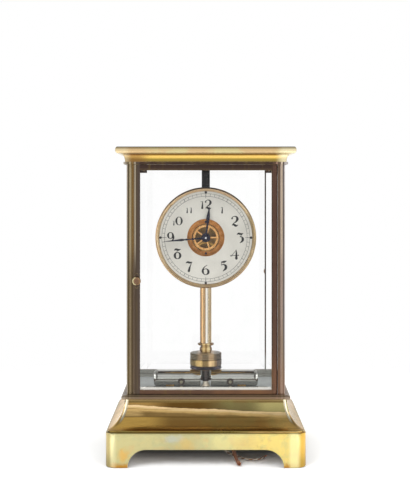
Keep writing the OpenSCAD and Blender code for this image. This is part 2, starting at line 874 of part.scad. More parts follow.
module minute_hand() {
    boss = 3.6;
    l = minute_len;
    color("#20242c") at_dial() rotate([0, 0, -minute_at]) difference() {
        union() {
            rod(boss, minute_at_z, minute_at_z + hand_t);
            blade([[2.6, 0.9], [0.38 * l, 0.5], [0.43 * l, 0.55], [0.46 * l, 1.05], [0.49 * l, 0.6],
                [0.53 * l, 0.95], [0.58 * l, 1.2], [0.66 * l, 0.9], [0.8 * l, 0.55], [l, 0.12]],
                minute_at_z);
        }
        rod(seat_r, minute_at_z - cut, minute_at_z + hand_t + cut);
    }
}

module hand_nut() {
    z0 = minute_at_z + hand_t;
    color("#d8d6d0") at_dial() turned([
        [0, z0], [2, z0], [2, z0 + 0.5], [1.7, z0 + 1], [1, z0 + 1.4], [0, z0 + 1.5]]);
}

module minute_wheel() {
    z0 = work_at + 0.6;
    zp = z0 + 1;
    color("#a08c50") at_dial(0, -motion_a) difference() {
        union() {
            wheel(minute_n, motion_m, 90 + 180 / minute_n, z0, zp, 4, 45, 1.4, 2.6);
            toothed(minute_pinion_n, motion_m, 90 + 180 / minute_pinion_n, zp - 0.2, dial_at - 0.9);
        }
        rod(arbor_r + run, z0 - cut, dial_at + cut);
    }
}

// directions between the wheels of the going train
to_inter = atan2(inter_y, inter_x);
inter_to_count = atan2(count_up - inter_y, -inter_x);
centre_wheel_at = gap_at + 7.5;
inter_wheel_at = gap_at + 2.5;

module centre_wheel() {
    color("#c0a050") at_dial() union() {
        wheel(centre_n, train_m2, to_inter, centre_wheel_at, centre_wheel_at + 1, 5, 18, 1.4, 2.6);
        rod(arbor_r, back_at + 0.2, minute_at_z - 0.5);
        rod(1.2, gap_at + 0.4, centre_wheel_at + 0.5);
    }
}

module intermediate_wheel() {
    color("#c0a050") at_dial(inter_x, inter_y) union() {
        wheel(inter_n, train_m1, inter_to_count, inter_wheel_at, inter_wheel_at + 1, 5, 0, 1.4, 2.4);
        toothed(leaf_n, train_m2, to_inter + 180 + 180 / leaf_n,
            inter_wheel_at + 0.8, centre_wheel_at + 1.6);
        rod(arbor_r, back_at + 0.2, work_at - 0.2);
    }
}

module count_wheel() {
    step = 360 / count_n;
    root = count_r - 0.7;
    saw = [for (k = [0:count_n - 1]) for (q = [[count_r, 0], [root, 0.15]])
        let (a = 90 + step * (k + q[1])) q[0] * [cos(a), sin(a)]];
    color("#c0a050") at_dial(0, count_up) union() {
        difference() {
            translate([0, 0, count_at]) linear_extrude(height = count_t) polygon(saw);
            for (k = [0:4]) rotate([0, 0, 72 * k]) translate([0, 0, count_at - cut])
                linear_extrude(height = count_t + 2 * cut) polygon(window(2.4, root - 1.2, 5));
        }
        rod(arbor_r, count_at + count_t / 2, work_at - 0.2);
        toothed(leaf_n, train_m1, inter_to_count + 180 + 180 / leaf_n,
            inter_wheel_at - 1, inter_wheel_at + 2.4);
    }
}

// Pendulum

module suspension_spring() {
    color("#8f96a0") translate([-spring_t / 2, pend_y - spring_w / 2, susp_z - spring_half - spring_in])
        cube([spring_t, spring_w, 2 * (spring_half + spring_in)]);
}

module pendulum_strap() {
    top = susp_z - spring_half + clamp_in;
    color("#6a6a6c") difference() {
        union() {
            translate([-strap_w / 2 + 1, pend_y - spring_w / 2 - 1, top - clamp_h])
                cube([strap_w - 2, spring_w + 2, clamp_h]);
            translate([-strap_w / 2, pend_y - strap_t / 2, rod_top])
                cube([strap_w, strap_t, top - clamp_h / 2 - rod_top]);
            translate([0, pend_y, 0]) rod(rod_r, rod_top, rod_top + 2);
            translate([0, pend_y, 0]) rod(rod_r - rod_wall, rod_top - plug_h, rod_top + 1);
        }
        translate([-spring_t / 2, pend_y - spring_w / 2, susp_z - spring_half - spring_in])
            cube([spring_t, spring_w, clamp_in + spring_in + cut]);
    }
}

module pendulum_rod() {
    color("#d9a441") translate([0, pend_y, 0]) difference() {
        rod(rod_r, ferr_z + ferr_h, rod_top);
        rod(rod_r - rod_wall, ferr_z + ferr_h - cut, rod_top + cut);
    }
}

module rod_ferrule() {
    z = ferr_z;
    color("#c99a3e") translate([0, pend_y, 0]) turned([
        [0, bob_z], [stem_r, bob_z], [stem_r, z], [5, z], [6, z + 1.2], [6.3, z + 3.2], [5.9, z + 5],
        [5.2, z + 6], [5.2, z + 6.8], [rod_r + 1.4, z + 7.2], [rod_r + 2.4, z + 8], [rod_r + 2.4, z + 9],
        [rod_r + 1.2, z + ferr_h], [rod_r - rod_wall, z + ferr_h], [rod_r - rod_wall, z + ferr_h + 6],
        [0, z + ferr_h + 6]]);
}

module rating_nut() {
    z0 = nut_z + nut_gap;
    z1 = nut_z + nut_h;
    g = nut_groove;
    p = (z1 - z0) / 4;
    ribs = [for (i = [0:3]) each [[bob_r - g, z0 + p * i], [bob_r - 0.1, z0 + p * (i + 0.3)],
        [bob_r - 0.1, z0 + p * (i + 0.7)]]];
    color("#77706a") translate([0, pend_y, 0]) turned(concat(
        [[stem_r + run, z0]], ribs, [[bob_r - g, z1], [stem_r + run, z1]]));
}

module bob_ring() {
    z1 = nut_z;
    color("#d9a441") translate([0, pend_y, 0]) turned([
        [stem_r, bob_z], [bob_r - 0.6, bob_z], [bob_r, bob_z + 0.7], [bob_r, z1 - 0.6], [bob_r - 0.5, z1],
        [stem_r, z1]]);
}

module iron_disc() {
    color("#2c2826") translate([0, pend_y, 0]) turned([
        [0, disc_z], [bob_r - 0.3, disc_z], [bob_r, disc_z + 0.3], [bob_r - 0.6, bob_z], [0, bob_z]]);
}

// arm on the pendulum that carries the pawl in front of the count wheel
pin_z = dial_z + pawl_up;

module pawl_arm() {
    y0 = pend_y - strap_t / 2;
    h = arm_h;
    color("#6a6a6c") union() {
        translate([-strap_w / 2, y0 - 2, pin_z - h / 2]) cube([strap_w / 2 + pawl_x + 1.5, 2, h]);
        translate([pawl_x, y0 - 1, pin_z]) rotate([90, 0, 0]) rod(0.8, 0, count_at + count_t + y0 - 0.7);
    }
}

module pawl() {
    tip = dial_z + count_up + count_r + pawl_clear - pin_z;
    color("#8f96a0") translate([pawl_x, 0, pin_z]) rotate([90, 0, 0]) difference() {
        translate([0, 0, count_at]) linear_extrude(height = count_t) polygon(concat(
            arc([0, 0], 1.7, 1.7, -90, 90, 8),
            [[-9, 1.1], [-10.4, 0.3], [-10.4, tip], [-9.8, tip], [-8.6, -0.6]]));
        rod(0.8 + run, count_at - cut, count_at + count_t + cut);
    }
}

// switch behind the dial: an insulating block on the back plate carries a leaf that meets the swinging clamp
module contact_block() {
    color("#1e1c1c") translate([-contact_x, -back_at, contact_z - contact_h / 2])
        cube([contact_w, back_at + pend_y + contact_reach, contact_h]);
}

module contact_spring() {
    leaf = 0.4;
    color("#c8b070") translate([contact_w - contact_x, pend_y - contact_reach / 2, contact_z]) union() {
        translate([0, 0, 1 - contact_h / 2]) cube([leaf, contact_reach, contact_h - 2]);
        cube([contact_x - contact_w - strap_w / 2 + 0.25, contact_reach, leaf]);
    }
}

// Electromagnet

module along_x(s) {
    translate([0, pend_y, coil_z]) rotate([0, s * 90, 0]) children();
}

// where a terminal stands on the front of a coil tube
module at_terminal(s) {
    translate([s * term_x, pend_y, coil_z - term_drop]) rotate([90, 0, 0]) children();
}

module coil_tube(s) {
    ri = coil_r - coil_wall;
    color("#c9c9c6") difference() {
        along_x(s) turned(concat(
            [[core_r, coil_x0], [coil_r - 0.4, coil_x0], [coil_r, coil_x0 + 0.4]],
            arc([coil_r - coil_dome, coil_x1 - coil_dome], coil_dome, coil_dome, 0, 90),
            [[0, coil_x1], [0, coil_x1 - 1.5], [ri - coil_dome, coil_x1 - 1.5]],
            [[ri, coil_x1 - coil_dome - 1.5], [ri, coil_x0 + 1.5], [core_r, coil_x0 + 1.5]]));
        at_terminal(s) rod(1.2, coil_r - 3, coil_r + 2);
    }
}

module coil_tube_left() {
    coil_tube(-1);
}

module coil_tube_right() {
    coil_tube(1);
}

module coil_windings() {
    ri = coil_r - coil_wall;
    color("#a65a34") for (s = [-1, 1]) along_x(s) difference() {
        rod(ri - 0.9, coil_x0 + 1.5, coil_x1 - coil_dome - 2);
        rod(core_r, coil_x0, coil_x1);
    }
}

module iron_core() {
    l = coil_x1 - coil_dome - 2;
    color("#3a3634") along_x(1) rod(core_r, -l, l);
}

module pole_post() {
    z0 = z_floor + ivory_h;
    z1 = disc_z - air_gap;
    color("#2c2826") translate([0, pend_y, 0]) difference() {
        turned([
            [0, z0], [pole_r - 0.8, z0], [pole_r, z0 + 0.8], [pole_r, z1 - 0.4], [pole_r - 0.4, z1],
            [0, z1]]);
        translate([0, 0, coil_z]) rotate([0, 90, 0])
            cylinder(r = core_r, h = pole_d + 2 * cut, center = true);
    }
}

module ivory_foot() {
    h = ivory_h;
    color("#efe6d2") translate([0, pend_y, z_floor]) turned([
        [0, 0], [ivory_r, 0], [ivory_r, 0.5], [ivory_r - 0.6, 0.9], [ivory_top + 1.4, 1.8],
        [ivory_top + 0.8, 3], [ivory_top + 0.3, 4.4], [ivory_top, h], [0, h]]);
}

module coil_terminals() {
    f = coil_r + 0.05;
    color("#3a3432") for (s = [-1, 1]) at_terminal(s) turned([
        [0, coil_r - coil_wall - 0.6], [1.2, coil_r - coil_wall - 0.6], [1.2, f],
        [term_r - 0.6, f + 0.3], [term_r, f + 0.8], [term_r, f + 2.2], [term_r - 0.5, f + 2.8],
        [1.6, f + 2.9], [1.4, f + 3.8], [0, f + 4]]);
}

module coil_saddles() {
    h = coil_lift + coil_r * 0.45;
    color("#b8923c") difference() {
        for (s = [-1, 1]) translate([s * saddle_x - saddle_w / 2, pend_y - coil_r * 0.8, z_floor])
            cube([saddle_w, coil_r * 1.6, h]);
        along_x(1) cylinder(r = coil_r, h = 2 * coil_span, center = true);
    }
}

// Leads

module lead_posts() {
    color("#b8923c") for (p = [brown_at, braid_at]) translate([p[0], p[1], 0]) turned([
        [0, lead_top], [2.4, lead_top], [2.6, lead_top + 0.4], [2.6, lead_top + 5], [1.8, lead_top + 6],
        [1.8, z_mould - 2], [3.4, z_mould - 1.6], [3.4, z_mould], [0, z_mould]]);
}

function unit(v) = v / norm(v);
function heading(p, i) = unit(p[min(i + 1, len(p) - 1)] - p[max(i - 1, 0)]);

// tube along a route, eight sides; the first ring lies flat under its terminal
module lead(route, d) {
    sides = 8;
    rings = [for (i = [0:len(route) - 1])
        let (t = i == 0 ? [0, 0, -1] : heading(route, i))
        let (u = unit(cross(t, [0.31, 0.95, 0.02])), v = cross(t, u))
        [for (k = [0:sides - 1]) let (a = 360 * (k + 0.5) / sides)
            route[i] + d / 2 * (cos(a) * u + sin(a) * v)]];
    skin(rings, false);
}

module brown_lead() {
    color("#6b3a22") lead(brown_route, brown_d);
}

module braided_lead() {
    color("#b08a55") lead(braid_route, braid_d);
}

base_block();
base_cove();
base_moulding();
floor_plate();
corner_posts();
side_frame_left();
side_frame_right();
side_glass_left();
side_glass_right();
ceiling_plate();
cornice();
case_screws();
front_door();
front_glass();
front_pins();
front_latch();
rear_door();
rear_glass();
rear_pins();
rear_latch();
hanger();
movement_band();
bezel();
dial();
eye_ring();
front_plate();
back_plate();
plate_pillars();
plate_screws();
hour_wheel();
hour_hand();
cannon_pinion();
minute_hand();
hand_nut();
minute_wheel();
centre_wheel();
intermediate_wheel();
count_wheel();
suspension_spring();
pendulum_strap();
pendulum_rod();
rod_ferrule();
rating_nut();
bob_ring();
iron_disc();
pawl_arm();
pawl();
contact_block();
contact_spring();
coil_tube_left();
coil_tube_right();
coil_windings();
iron_core();
pole_post();
ivory_foot();
coil_terminals();
coil_saddles();
lead_posts();
brown_lead();
braided_lead();
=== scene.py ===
# %% [markdown]
# A crystal regulator is a mantel clock in a brass case with four bevelled glasses. This one has an
# open-centred dial and a short pendulum that swings over an electromagnet, fed by a dry cell in the
# hollow base. The solids of the clock are loaded first and stay where they are: this lesson gives them
# their finishes, and adds the pieces that need a finer mesh than a solid has, such as the printed dial,
# the cloth-covered leads and the smooth brass mouldings.

# %% Load the solids
import json
import math

import bpy
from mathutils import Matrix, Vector


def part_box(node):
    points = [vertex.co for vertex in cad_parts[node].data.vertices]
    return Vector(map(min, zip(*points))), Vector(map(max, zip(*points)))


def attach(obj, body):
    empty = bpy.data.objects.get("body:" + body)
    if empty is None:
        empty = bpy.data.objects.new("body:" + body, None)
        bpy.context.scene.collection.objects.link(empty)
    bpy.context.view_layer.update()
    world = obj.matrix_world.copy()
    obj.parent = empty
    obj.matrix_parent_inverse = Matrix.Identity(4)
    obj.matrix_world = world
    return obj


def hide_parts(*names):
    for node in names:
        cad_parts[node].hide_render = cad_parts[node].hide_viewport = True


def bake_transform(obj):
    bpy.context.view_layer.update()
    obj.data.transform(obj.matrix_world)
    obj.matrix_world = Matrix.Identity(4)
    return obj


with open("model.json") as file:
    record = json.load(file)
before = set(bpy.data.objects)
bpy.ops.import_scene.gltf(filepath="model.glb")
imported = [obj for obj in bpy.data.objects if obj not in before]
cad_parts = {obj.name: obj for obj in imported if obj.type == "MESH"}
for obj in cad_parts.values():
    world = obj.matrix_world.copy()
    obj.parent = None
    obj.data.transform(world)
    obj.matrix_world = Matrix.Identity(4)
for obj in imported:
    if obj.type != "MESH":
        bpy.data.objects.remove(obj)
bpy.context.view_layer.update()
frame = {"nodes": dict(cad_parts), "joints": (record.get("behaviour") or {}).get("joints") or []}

MM = 0.001
nodes = frame["nodes"]
print("solids loaded:", len(nodes))

# %% [markdown]
# The camera stands 1.1 m in front of the clock, level, a little under the height of the cornice. A level
# camera keeps upright edges upright. The picture was framed lower than the lens, so the lens is shifted
# down by the distance between the horizon's row and the middle row.

# %% Camera
PHOTO_W = 410
PHOTO_H = 495
HORIZON_ROW = 195
MIDDLE_OFF = 0.8
FOCAL_PX = 1080.75
SENSOR = 36
CAMERA_BACK = 1100 * MM
CAMERA_UP = 257 * MM

camera_data = bpy.data.cameras.new("camera")
camera_data.sensor_fit = "HORIZONTAL"
camera_data.sensor_width = SENSOR
camera_data.lens = SENSOR * FOCAL_PX / PHOTO_W
camera_data.shift_x = -MIDDLE_OFF / PHOTO_W
camera_data.shift_y = (HORIZON_ROW - PHOTO_H / 2) / PHOTO_W
camera = bpy.data.objects.new("camera", camera_data)
camera.location = (0, -CAMERA_BACK, CAMERA_UP)
camera.rotation_euler = (math.radians(90), 0, 0)
bpy.context.scene.collection.objects.link(camera)
bpy.context.scene.camera = camera
bpy.context.scene.view_settings.view_transform = "Standard"
print("lens", round(camera_data.lens, 1), "mm")

# %% [markdown]
# Two helpers make every new mesh. The first turns points and faces into a smooth-shaded mesh whose sharp
# edges stay sharp. The second hangs the piece on the body that it moves with.


# %% Helpers for new pieces
def make_mesh(name, points, faces, sharp=35):
    mesh = bpy.data.meshes.new(name)
    mesh.from_pydata(points, [], faces)
    mesh.validate()
    mesh.shade_smooth()
    mesh.set_sharp_from_angle(angle=math.radians(sharp))
    return mesh


def add_piece(mesh, body):
    piece = bpy.data.objects.new(mesh.name, mesh)
    bpy.context.scene.collection.objects.link(piece)
    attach(piece, body)
    print("piece", mesh.name, "faces", len(mesh.polygons))
    return piece


def join(parts):
    """Several (points, faces) lists as one."""
    points, faces = [], []
    for more, shapes in parts:
        start = len(points)
        points += more
        faces += [[start + i for i in face] for face in shapes]
    return points, faces


# %% [markdown]
# Two leads come out of the base under the front apron. Each hangs from its terminal inside the hollow
# base, and then lies on the table. The routes are those of the solids. A tube with a woven texture would
# look like rubber up close, so the plies and the braid are real strands: each one is a tube that winds
# round the route.


# %% Routes and strands
def smooth_route(points, steps):
    """A curve through the points, with each stretch cut into steps."""
    ends = [2 * points[0] - points[1], *points, 2 * points[-1] - points[-2]]
    line = []
    for a, b, c, d in zip(ends, ends[1:], ends[2:], ends[3:]):
        for i in range(steps):
            t = i / steps
            line.append(0.5 * (2 * b + (c - a) * t + (2 * a - 5 * b + 4 * c - d) * t**2
                               + (3 * b - a - 3 * c + d) * t**3))
    return [*line, points[-1]]


def frames_along(line):
    """Two directions square to the line at each point, carried along it without twist."""
    ways = [(b - a).normalized() for a, b in zip(line, line[1:])]
    ways.append(ways[-1])
    side = ways[0].orthogonal().normalized()
    found = []
    for way in ways:
        side = (side - way * side.dot(way)).normalized()
        found.append((side, way.cross(side)))
    return found


def tube(line, radius, sides, flat=1.0, centre=None):
    """A closed tube along a line; flat thins it towards the centre line that it winds round."""
    points, faces = [], []
    for i, (p, (u, v)) in enumerate(zip(line, frames_along(line))):
        if centre:
            way = u.cross(v)
            out = p - centre[i]
            u = (out - way * out.dot(way)).normalized()
            v = way.cross(u)
        for k in range(sides):
            a = 2 * math.pi * k / sides
            points.append(p + u * math.cos(a) * radius * flat + v * math.sin(a) * radius)
    for i in range(len(line) - 1):
        for k in range(sides):
            j = (k + 1) % sides
            faces.append([i * sides + k, i * sides + j, (i + 1) * sides + j, (i + 1) * sides + k])
    faces.append(list(range(sides))[::-1])
    faces.append([(len(line) - 1) * sides + k for k in range(sides)])
    return points, faces


def wound(line, reach, turns_per_m, start, wave=None):
    """A strand that winds round a line at a distance of reach."""
    made, far = [], 0.0
    for i, (p, (u, v)) in enumerate(zip(line, frames_along(line))):
        if i:
            far += (p - line[i - 1]).length
        a = start + 2 * math.pi * turns_per_m * far
        r = reach + (wave(far) if wave else 0)
        made.append(p + (u * math.cos(a) + v * math.sin(a)) * r)
    return made


def route(points):
    return [Vector(p) * MM for p in points]


LEAD_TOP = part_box("brown_lead")[1].z / MM
brown_points = route([
    (20, -26, LEAD_TOP), (20, -26, LEAD_TOP - 4.5), (20, -26.5, LEAD_TOP - 9), (20.2, -28, LEAD_TOP - 14),
    (20.8, -31, LEAD_TOP - 19), (21.6, -35, 27), (22.6, -39.5, 23), (23.6, -44, 19.4), (24.8, -48.5, 16),
    (26, -53, 12.8), (27.1, -57.5, 9.8), (28.2, -62, 7.2), (29.2, -66, 5), (30.2, -70, 3.4),
    (31, -73, 2.5), (31.6, -75.5, 2.2)])
braid_points = route([
    (10, -16, LEAD_TOP), (10, -16, LEAD_TOP - 4), (10, -16, LEAD_TOP - 8.5), (9.9, -15.6, LEAD_TOP - 13.5),
    (9.9, -15.2, LEAD_TOP - 18.5), (10.1, -15.1, 27), (10.6, -15.4, 22), (11.5, -16.2, 17),
    (13, -17.8, 12.3), (15, -20, 8.2), (17.5, -23, 5), (20.5, -26.8, 2.8), (23.5, -31, 1.7),
    (26.5, -36, 1.6), (29.5, -41.5, 1.6), (33, -47, 1.6), (37, -52, 1.6), (41.5, -55.5, 1.6),
    (46.5, -56.8, 1.6), (51, -55, 1.6), (54.5, -51, 1.6), (57, -46, 1.6)])
print("routes of", len(brown_points), "and", len(braid_points), "points")

# %% [markdown]
# The brown lead is three cotton plies laid up like rope. Three equal rods that touch each other leave
# their centres 1.155 radii from the middle, so the ply radius follows from the lead's own.

# %% Brown lead
BROWN_D = 4 * MM
PLIES = 3
BROWN_LAY = 110
brown_line = smooth_route(brown_points, 9)
ply_r = BROWN_D / 2 / (1 + 2 / math.sqrt(3))
plies = [tube(wound(brown_line, BROWN_D / 2 - ply_r, BROWN_LAY, 2 * math.pi * k / PLIES), ply_r, 10)
         for k in range(PLIES)]
brown_lead = add_piece(make_mesh("brown_lead_cloth", *join(plies), sharp=80), "case")
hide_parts("brown_lead")

# %% [markdown]
# The second lead has a woven cotton sleeve: four strands wind one way, four the other, and each goes over
# one and under the next. Where strands cross, the wave of one is up while the other's is down, so they
# never run through each other.

# %% Braided lead
BRAID_D = 2.8 * MM
BRAID_LAY = 60
STRANDS = 4
STRAND_R = 0.5 * MM
STRAND_FLAT = 0.45
STRAND_LIFT = 0.17 * MM
CORE_GAP = 0.05 * MM


def weave(way):
    return lambda far: way * STRAND_LIFT * math.cos(STRANDS * 2 * math.pi * BRAID_LAY * far)


braid_line = smooth_route(braid_points, 12)
sleeve_r = BRAID_D / 2 - STRAND_R * STRAND_FLAT - STRAND_LIFT
braid_parts = [tube(braid_line, sleeve_r - CORE_GAP, 10)]
for way in (1, -1):
    for k in range(STRANDS):
        strand = wound(braid_line, sleeve_r, way * BRAID_LAY, 2 * math.pi * k / STRANDS, weave(way))
        braid_parts.append(tube(strand, STRAND_R, 8, STRAND_FLAT, braid_line))
braid_mesh = make_mesh("braided_lead_sleeve", *join(braid_parts), sharp=80)
braided_lead = add_piece(braid_mesh, "case")
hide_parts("braided_lead")

# %% [markdown]
# Both leads end bare, as the real ones do: a whipping of thread keeps the cloth from fraying, and a few
# copper strands stand out of it. The whipping is one long coil of thread.

# %% Bare ends
WHIP_LONG = 4.2 * MM
WHIP_STEPS = 42
WHIP_LAY = 1600
THREAD_R = 0.32 * MM
WIRES = 7
WIRE_R = 0.24 * MM
WIRE_LAY = 90
WIRE_STEPS = 6
FAN_R = 0.5 * MM


def bare_end(name, line, lead_r, reach):
    tip, way = line[-1], (line[-1] - line[-3]).normalized()
    coil_axis = [tip - way * WHIP_LONG * (1 - i / WHIP_STEPS) for i in range(WHIP_STEPS + 1)]
    thread = tube(wound(coil_axis, lead_r * 0.96, WHIP_LAY, 0), THREAD_R, 6)
    core = tube(coil_axis, lead_r * 0.94, 12)
    fan = [tip + way * reach * i / WIRE_STEPS for i in range(-2, WIRE_STEPS + 1)]
    wires = []
    for k in range(WIRES):
        bow = FAN_R if k else 0.0
        wires.append(tube(wound(fan, bow, WIRE_LAY, 2 * math.pi * k / (WIRES - 1)), WIRE_R, 6))
    whip = make_mesh(name + "_whipping", *join([thread, core]), sharp=80)
    copper = make_mesh(name + "_copper", *join(wires), sharp=80)
    return [add_piece(whip, "case"), add_piece(copper, "case")]


def along(line):
    return sum((b - a).length for a, b in zip(line, line[1:]))


brown_end = bare_end("brown_lead", brown_line, BROWN_D / 2, 4 * MM)
braid_end = bare_end("braided_lead", braid_line, BRAID_D / 2, 5 * MM)
round(along(brown_line), 3)
round(along(braid_line), 3)
print("leads", round(along(brown_line) / MM), "and", round(along(braid_line) / MM), "mm")

# %% [markdown]
# The case of the clock is cast and rolled brass. Its solids have the right profiles, but their round
# stretches are flat facets, which a polished metal shows at once. So the four mouldings are built again
# here with many more levels. A moulding is a stack of rounded rectangles: each level says how far it
# stands out and how round its corners are, and the skin runs over the levels and back along the inside,
# which makes it a closed shell.

# %% Rounded levels
CORNER_STEPS = 14
LEAST_R = 0.2 * MM


def level(half_x, half_y, radius, z):
    """Points of a rounded rectangle, counter-clockwise from the +X side."""
    made = []
    for q, (sx, sy) in enumerate([(1, 1), (-1, 1), (-1, -1), (1, -1)]):
        for i in range(CORNER_STEPS + 1):
            a = math.radians(90 * q + 90 * i / CORNER_STEPS)
            made.append(Vector((sx * (half_x - radius) + radius * math.cos(a),
                                sy * (half_y - radius) + radius * math.sin(a), z)))
    return made


def shell(levels):
    """Skin over closed loops of points, from the last loop back to the first."""
    n, m = len(levels[0]), len(levels)
    points = [p for loop in levels for p in loop]
    faces = []
    for i in range(m):
        for j in range(n):
            k, b = (i + 1) % m, (j + 1) % n
            faces.append([i * n + j, i * n + b, k * n + b, k * n + j])
    return points, faces


def lidded(levels):
    """Skin over loops of points, with a lid on the first loop and on the last."""
    points, faces = shell(levels)
    n = len(levels[0])
    return points, [*faces[:-n], list(range(n))[::-1], list(range(len(points) - n, len(points)))]


def moulding(name, half_x, half_y, profile, node, y_share=1.0, skin=shell):
    """profile lists (how far out, height, corner radius), up the outer side and down the inner side."""
    loops = [level(half_x + out, half_y + out * y_share, max(r, LEAST_R), z) for out, z, r in profile]
    piece = add_piece(make_mesh(name, *skin(loops)), "case")
    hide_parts(node)
    return piece


block_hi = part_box("base_block")[1]
cove_lo, cove_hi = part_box("base_cove")
mould_lo, mould_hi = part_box("base_moulding")
corn_lo, corn_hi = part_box("cornice")
post_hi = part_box("corner_posts")[1]
print("base", [round(v / MM, 1) for v in block_hi], "posts", [round(v / MM, 1) for v in post_hi])

# %% [markdown]
# The lower block stands on four bracket feet with an arch between each pair. Cutting arches with a
# boolean leaves long thin faces that shade badly. Here the wall is a row of upright columns round the
# plan instead, and each column starts at the height of the arch at that place, so the arch edge is clean
# and its rim can be softened.

# %% Lower block
BLOCK_R = 10 * MM
BLOCK_WALL = 4 * MM
FOOT_W = 21.5 * MM
ARCH_H = 17 * MM
BLOCK_SOFT = 1.2 * MM
ARCH_SOFT = 0.7 * MM
ARCH_STEPS = 16
SOFT_STEPS = 5
FOOT_EDGES = (4 * MM, 0.4 * MM)


def side_stations(half):
    """Places along one side of the block, from one corner to the other, close together round the arches."""
    spring = half - FOOT_W - ARCH_H
    bend = [spring + ARCH_H * math.cos(math.pi / 2 * i / ARCH_STEPS) for i in range(ARCH_STEPS + 1)]
    foot = [half - FOOT_W + edge for edge in FOOT_EDGES]
    right = [half - BLOCK_R, *foot, *bend, spring / 2]
    return [-s for s in right] + [0.0] + right[::-1]


def arch_height(s, half):
    """Height of the underside at a place along a side."""
    inset = abs(s) - (half - FOOT_W - ARCH_H)
    if inset <= 0:
        return ARCH_H
    return math.sqrt(max(0.0, ARCH_H**2 - min(inset, ARCH_H) ** 2))


def block_plan():
    """Stations round the block: place, outward direction and height of the underside."""
    made = []
    for turn in range(4):
        a = math.pi / 2 * turn
        along_side = Vector((math.cos(a), math.sin(a), 0))
        out = Vector((math.sin(a), -math.cos(a), 0))
        half, off = (block_hi.x, block_hi.y) if turn % 2 == 0 else (block_hi.y, block_hi.x)
        for s in side_stations(half):
            made.append((along_side * s + out * off, out, arch_height(s, half)))
        centre = along_side * (half - BLOCK_R) + out * (off - BLOCK_R)
        for i in range(1, CORNER_STEPS):
            b = math.pi / 2 * i / CORNER_STEPS
            way = out * math.cos(b) + along_side * math.sin(b)
            made.append((centre + way * BLOCK_R, way, 0.0))
    return made


def block_column(place, out, low):
    """One upright cut through the wall: up the outside, over the top and down the inside."""
    top = block_hi.z
    soft = BLOCK_SOFT if low < ARCH_SOFT else ARCH_SOFT
    quarter = [math.pi / 2 * i / SOFT_STEPS for i in range(SOFT_STEPS + 1)]
    face = [(soft * (1 - math.sin(a)), low + soft * (1 - math.cos(a))) for a in quarter]
    face += [(0, low + soft + (top - BLOCK_SOFT - low - soft) * t) for t in (0.25, 0.5, 0.75)]
    face += [(BLOCK_SOFT * (1 - math.cos(a)), top - BLOCK_SOFT * (1 - math.sin(a))) for a in quarter]
    face += [(BLOCK_WALL, top), (BLOCK_WALL, low)]
    return [place - out * inset + Vector((0, 0, z)) for inset, z in face]


columns = [block_column(*station) for station in block_plan()]
columns.reverse()
base_block = add_piece(make_mesh("lower_block", *shell(columns), sharp=40), "case")
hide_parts("base_block")

# %% [markdown]
# Above the block a deep hollow moulding leads in to the case. It leaves the case upright and flattens out
# towards the block, through 78 degrees of an arc, and its mitred corners get rounder on the way down.

# %% Hollow moulding
COVE_TURN = math.radians(78)
COVE_STEPS = 40
COVE_REACH = 2 * MM
COVE_WALL = 3 * MM
COVE_R = 8.5 * MM
COVE_TOP_R = 4.5 * MM
COVE_LIP = 1.6 * MM
LIP_IN = 1.1 * MM
LIP_SOFT = 0.25 * MM
LEDGE_IN = -11.5 * MM
LEDGE_H = 2.5 * MM
LEDGE_R = 0.5 * MM
cove_out = cove_hi.x - post_hi.x
cove_drop = cove_hi.z - cove_lo.z - COVE_LIP


def cove_profile(skin):
    """The hollow from the case down to its lip, at a depth of skin under the surface."""
    made = []
    for i in range(COVE_STEPS + 1):
        a = COVE_TURN * i / COVE_STEPS
        out = (1 - math.cos(a)) / (1 - math.cos(COVE_TURN))
        down = math.sin(a) / math.sin(COVE_TURN)
        r = COVE_TOP_R + (COVE_R - COVE_TOP_R) * out - skin / 2
        made.append((COVE_REACH + (cove_out - COVE_REACH) * out - skin, cove_hi.z - cove_drop * down, r))
    return made


lip_out, lip_r, lip_z = cove_out - LIP_IN, COVE_R - LIP_IN, cove_lo.z + COVE_LIP / 2
hollow = [(lip_out, cove_lo.z, lip_r), (lip_out, lip_z, lip_r), (cove_out - LIP_SOFT, lip_z, COVE_R),
          (cove_out, cove_lo.z + COVE_LIP * 0.65, COVE_R), *cove_profile(0)[::-1],
          (LEDGE_IN, cove_hi.z, LEDGE_R), (LEDGE_IN, cove_hi.z - LEDGE_H, LEDGE_R),
          (COVE_REACH - COVE_WALL, cove_hi.z - LEDGE_H, LEDGE_R), *cove_profile(COVE_WALL)[4::4],
          (lip_out - COVE_WALL, cove_lo.z, lip_r - COVE_WALL / 2)]
moulding("hollow_moulding", post_hi.x, post_hi.y, hollow, "base_cove",
         (cove_hi.y - post_hi.y) / cove_out)

# %% [markdown]
# Between the hollow moulding and the posts lies a thin dark plate. Its border is a rounded nose, and
# above the nose a sloping shoulder leads in to the posts.

# %% Base moulding
NOSE_R = 0.9 * MM
NOSE_SHARE = 0.4
SHOULDER_IN = 1.6 * MM
SHOULDER_SHARE = 0.82
SHOULDER_R = 0.7 * MM
TOP_IN = 2 * MM
PLATE_IN = -6.5 * MM
PLATE_R = 0.6 * MM
mould_out = mould_hi.x - post_hi.x
mould_h = mould_hi.z - mould_lo.z
nose = []
for i in range(13):
    a = math.radians(12 * i)
    nose.append((mould_out - NOSE_R + NOSE_R * math.sin(a),
                 mould_lo.z + mould_h * NOSE_SHARE * (1 - math.cos(a)), NOSE_R))
nose += [(mould_out - SHOULDER_IN, mould_lo.z + mould_h * SHOULDER_SHARE, SHOULDER_R),
         (mould_out - TOP_IN, mould_hi.z, PLATE_R), (PLATE_IN, mould_hi.z, PLATE_R),
         (PLATE_IN, mould_lo.z, PLATE_R)]
moulding("case_moulding", post_hi.x, post_hi.y, nose, "base_moulding")

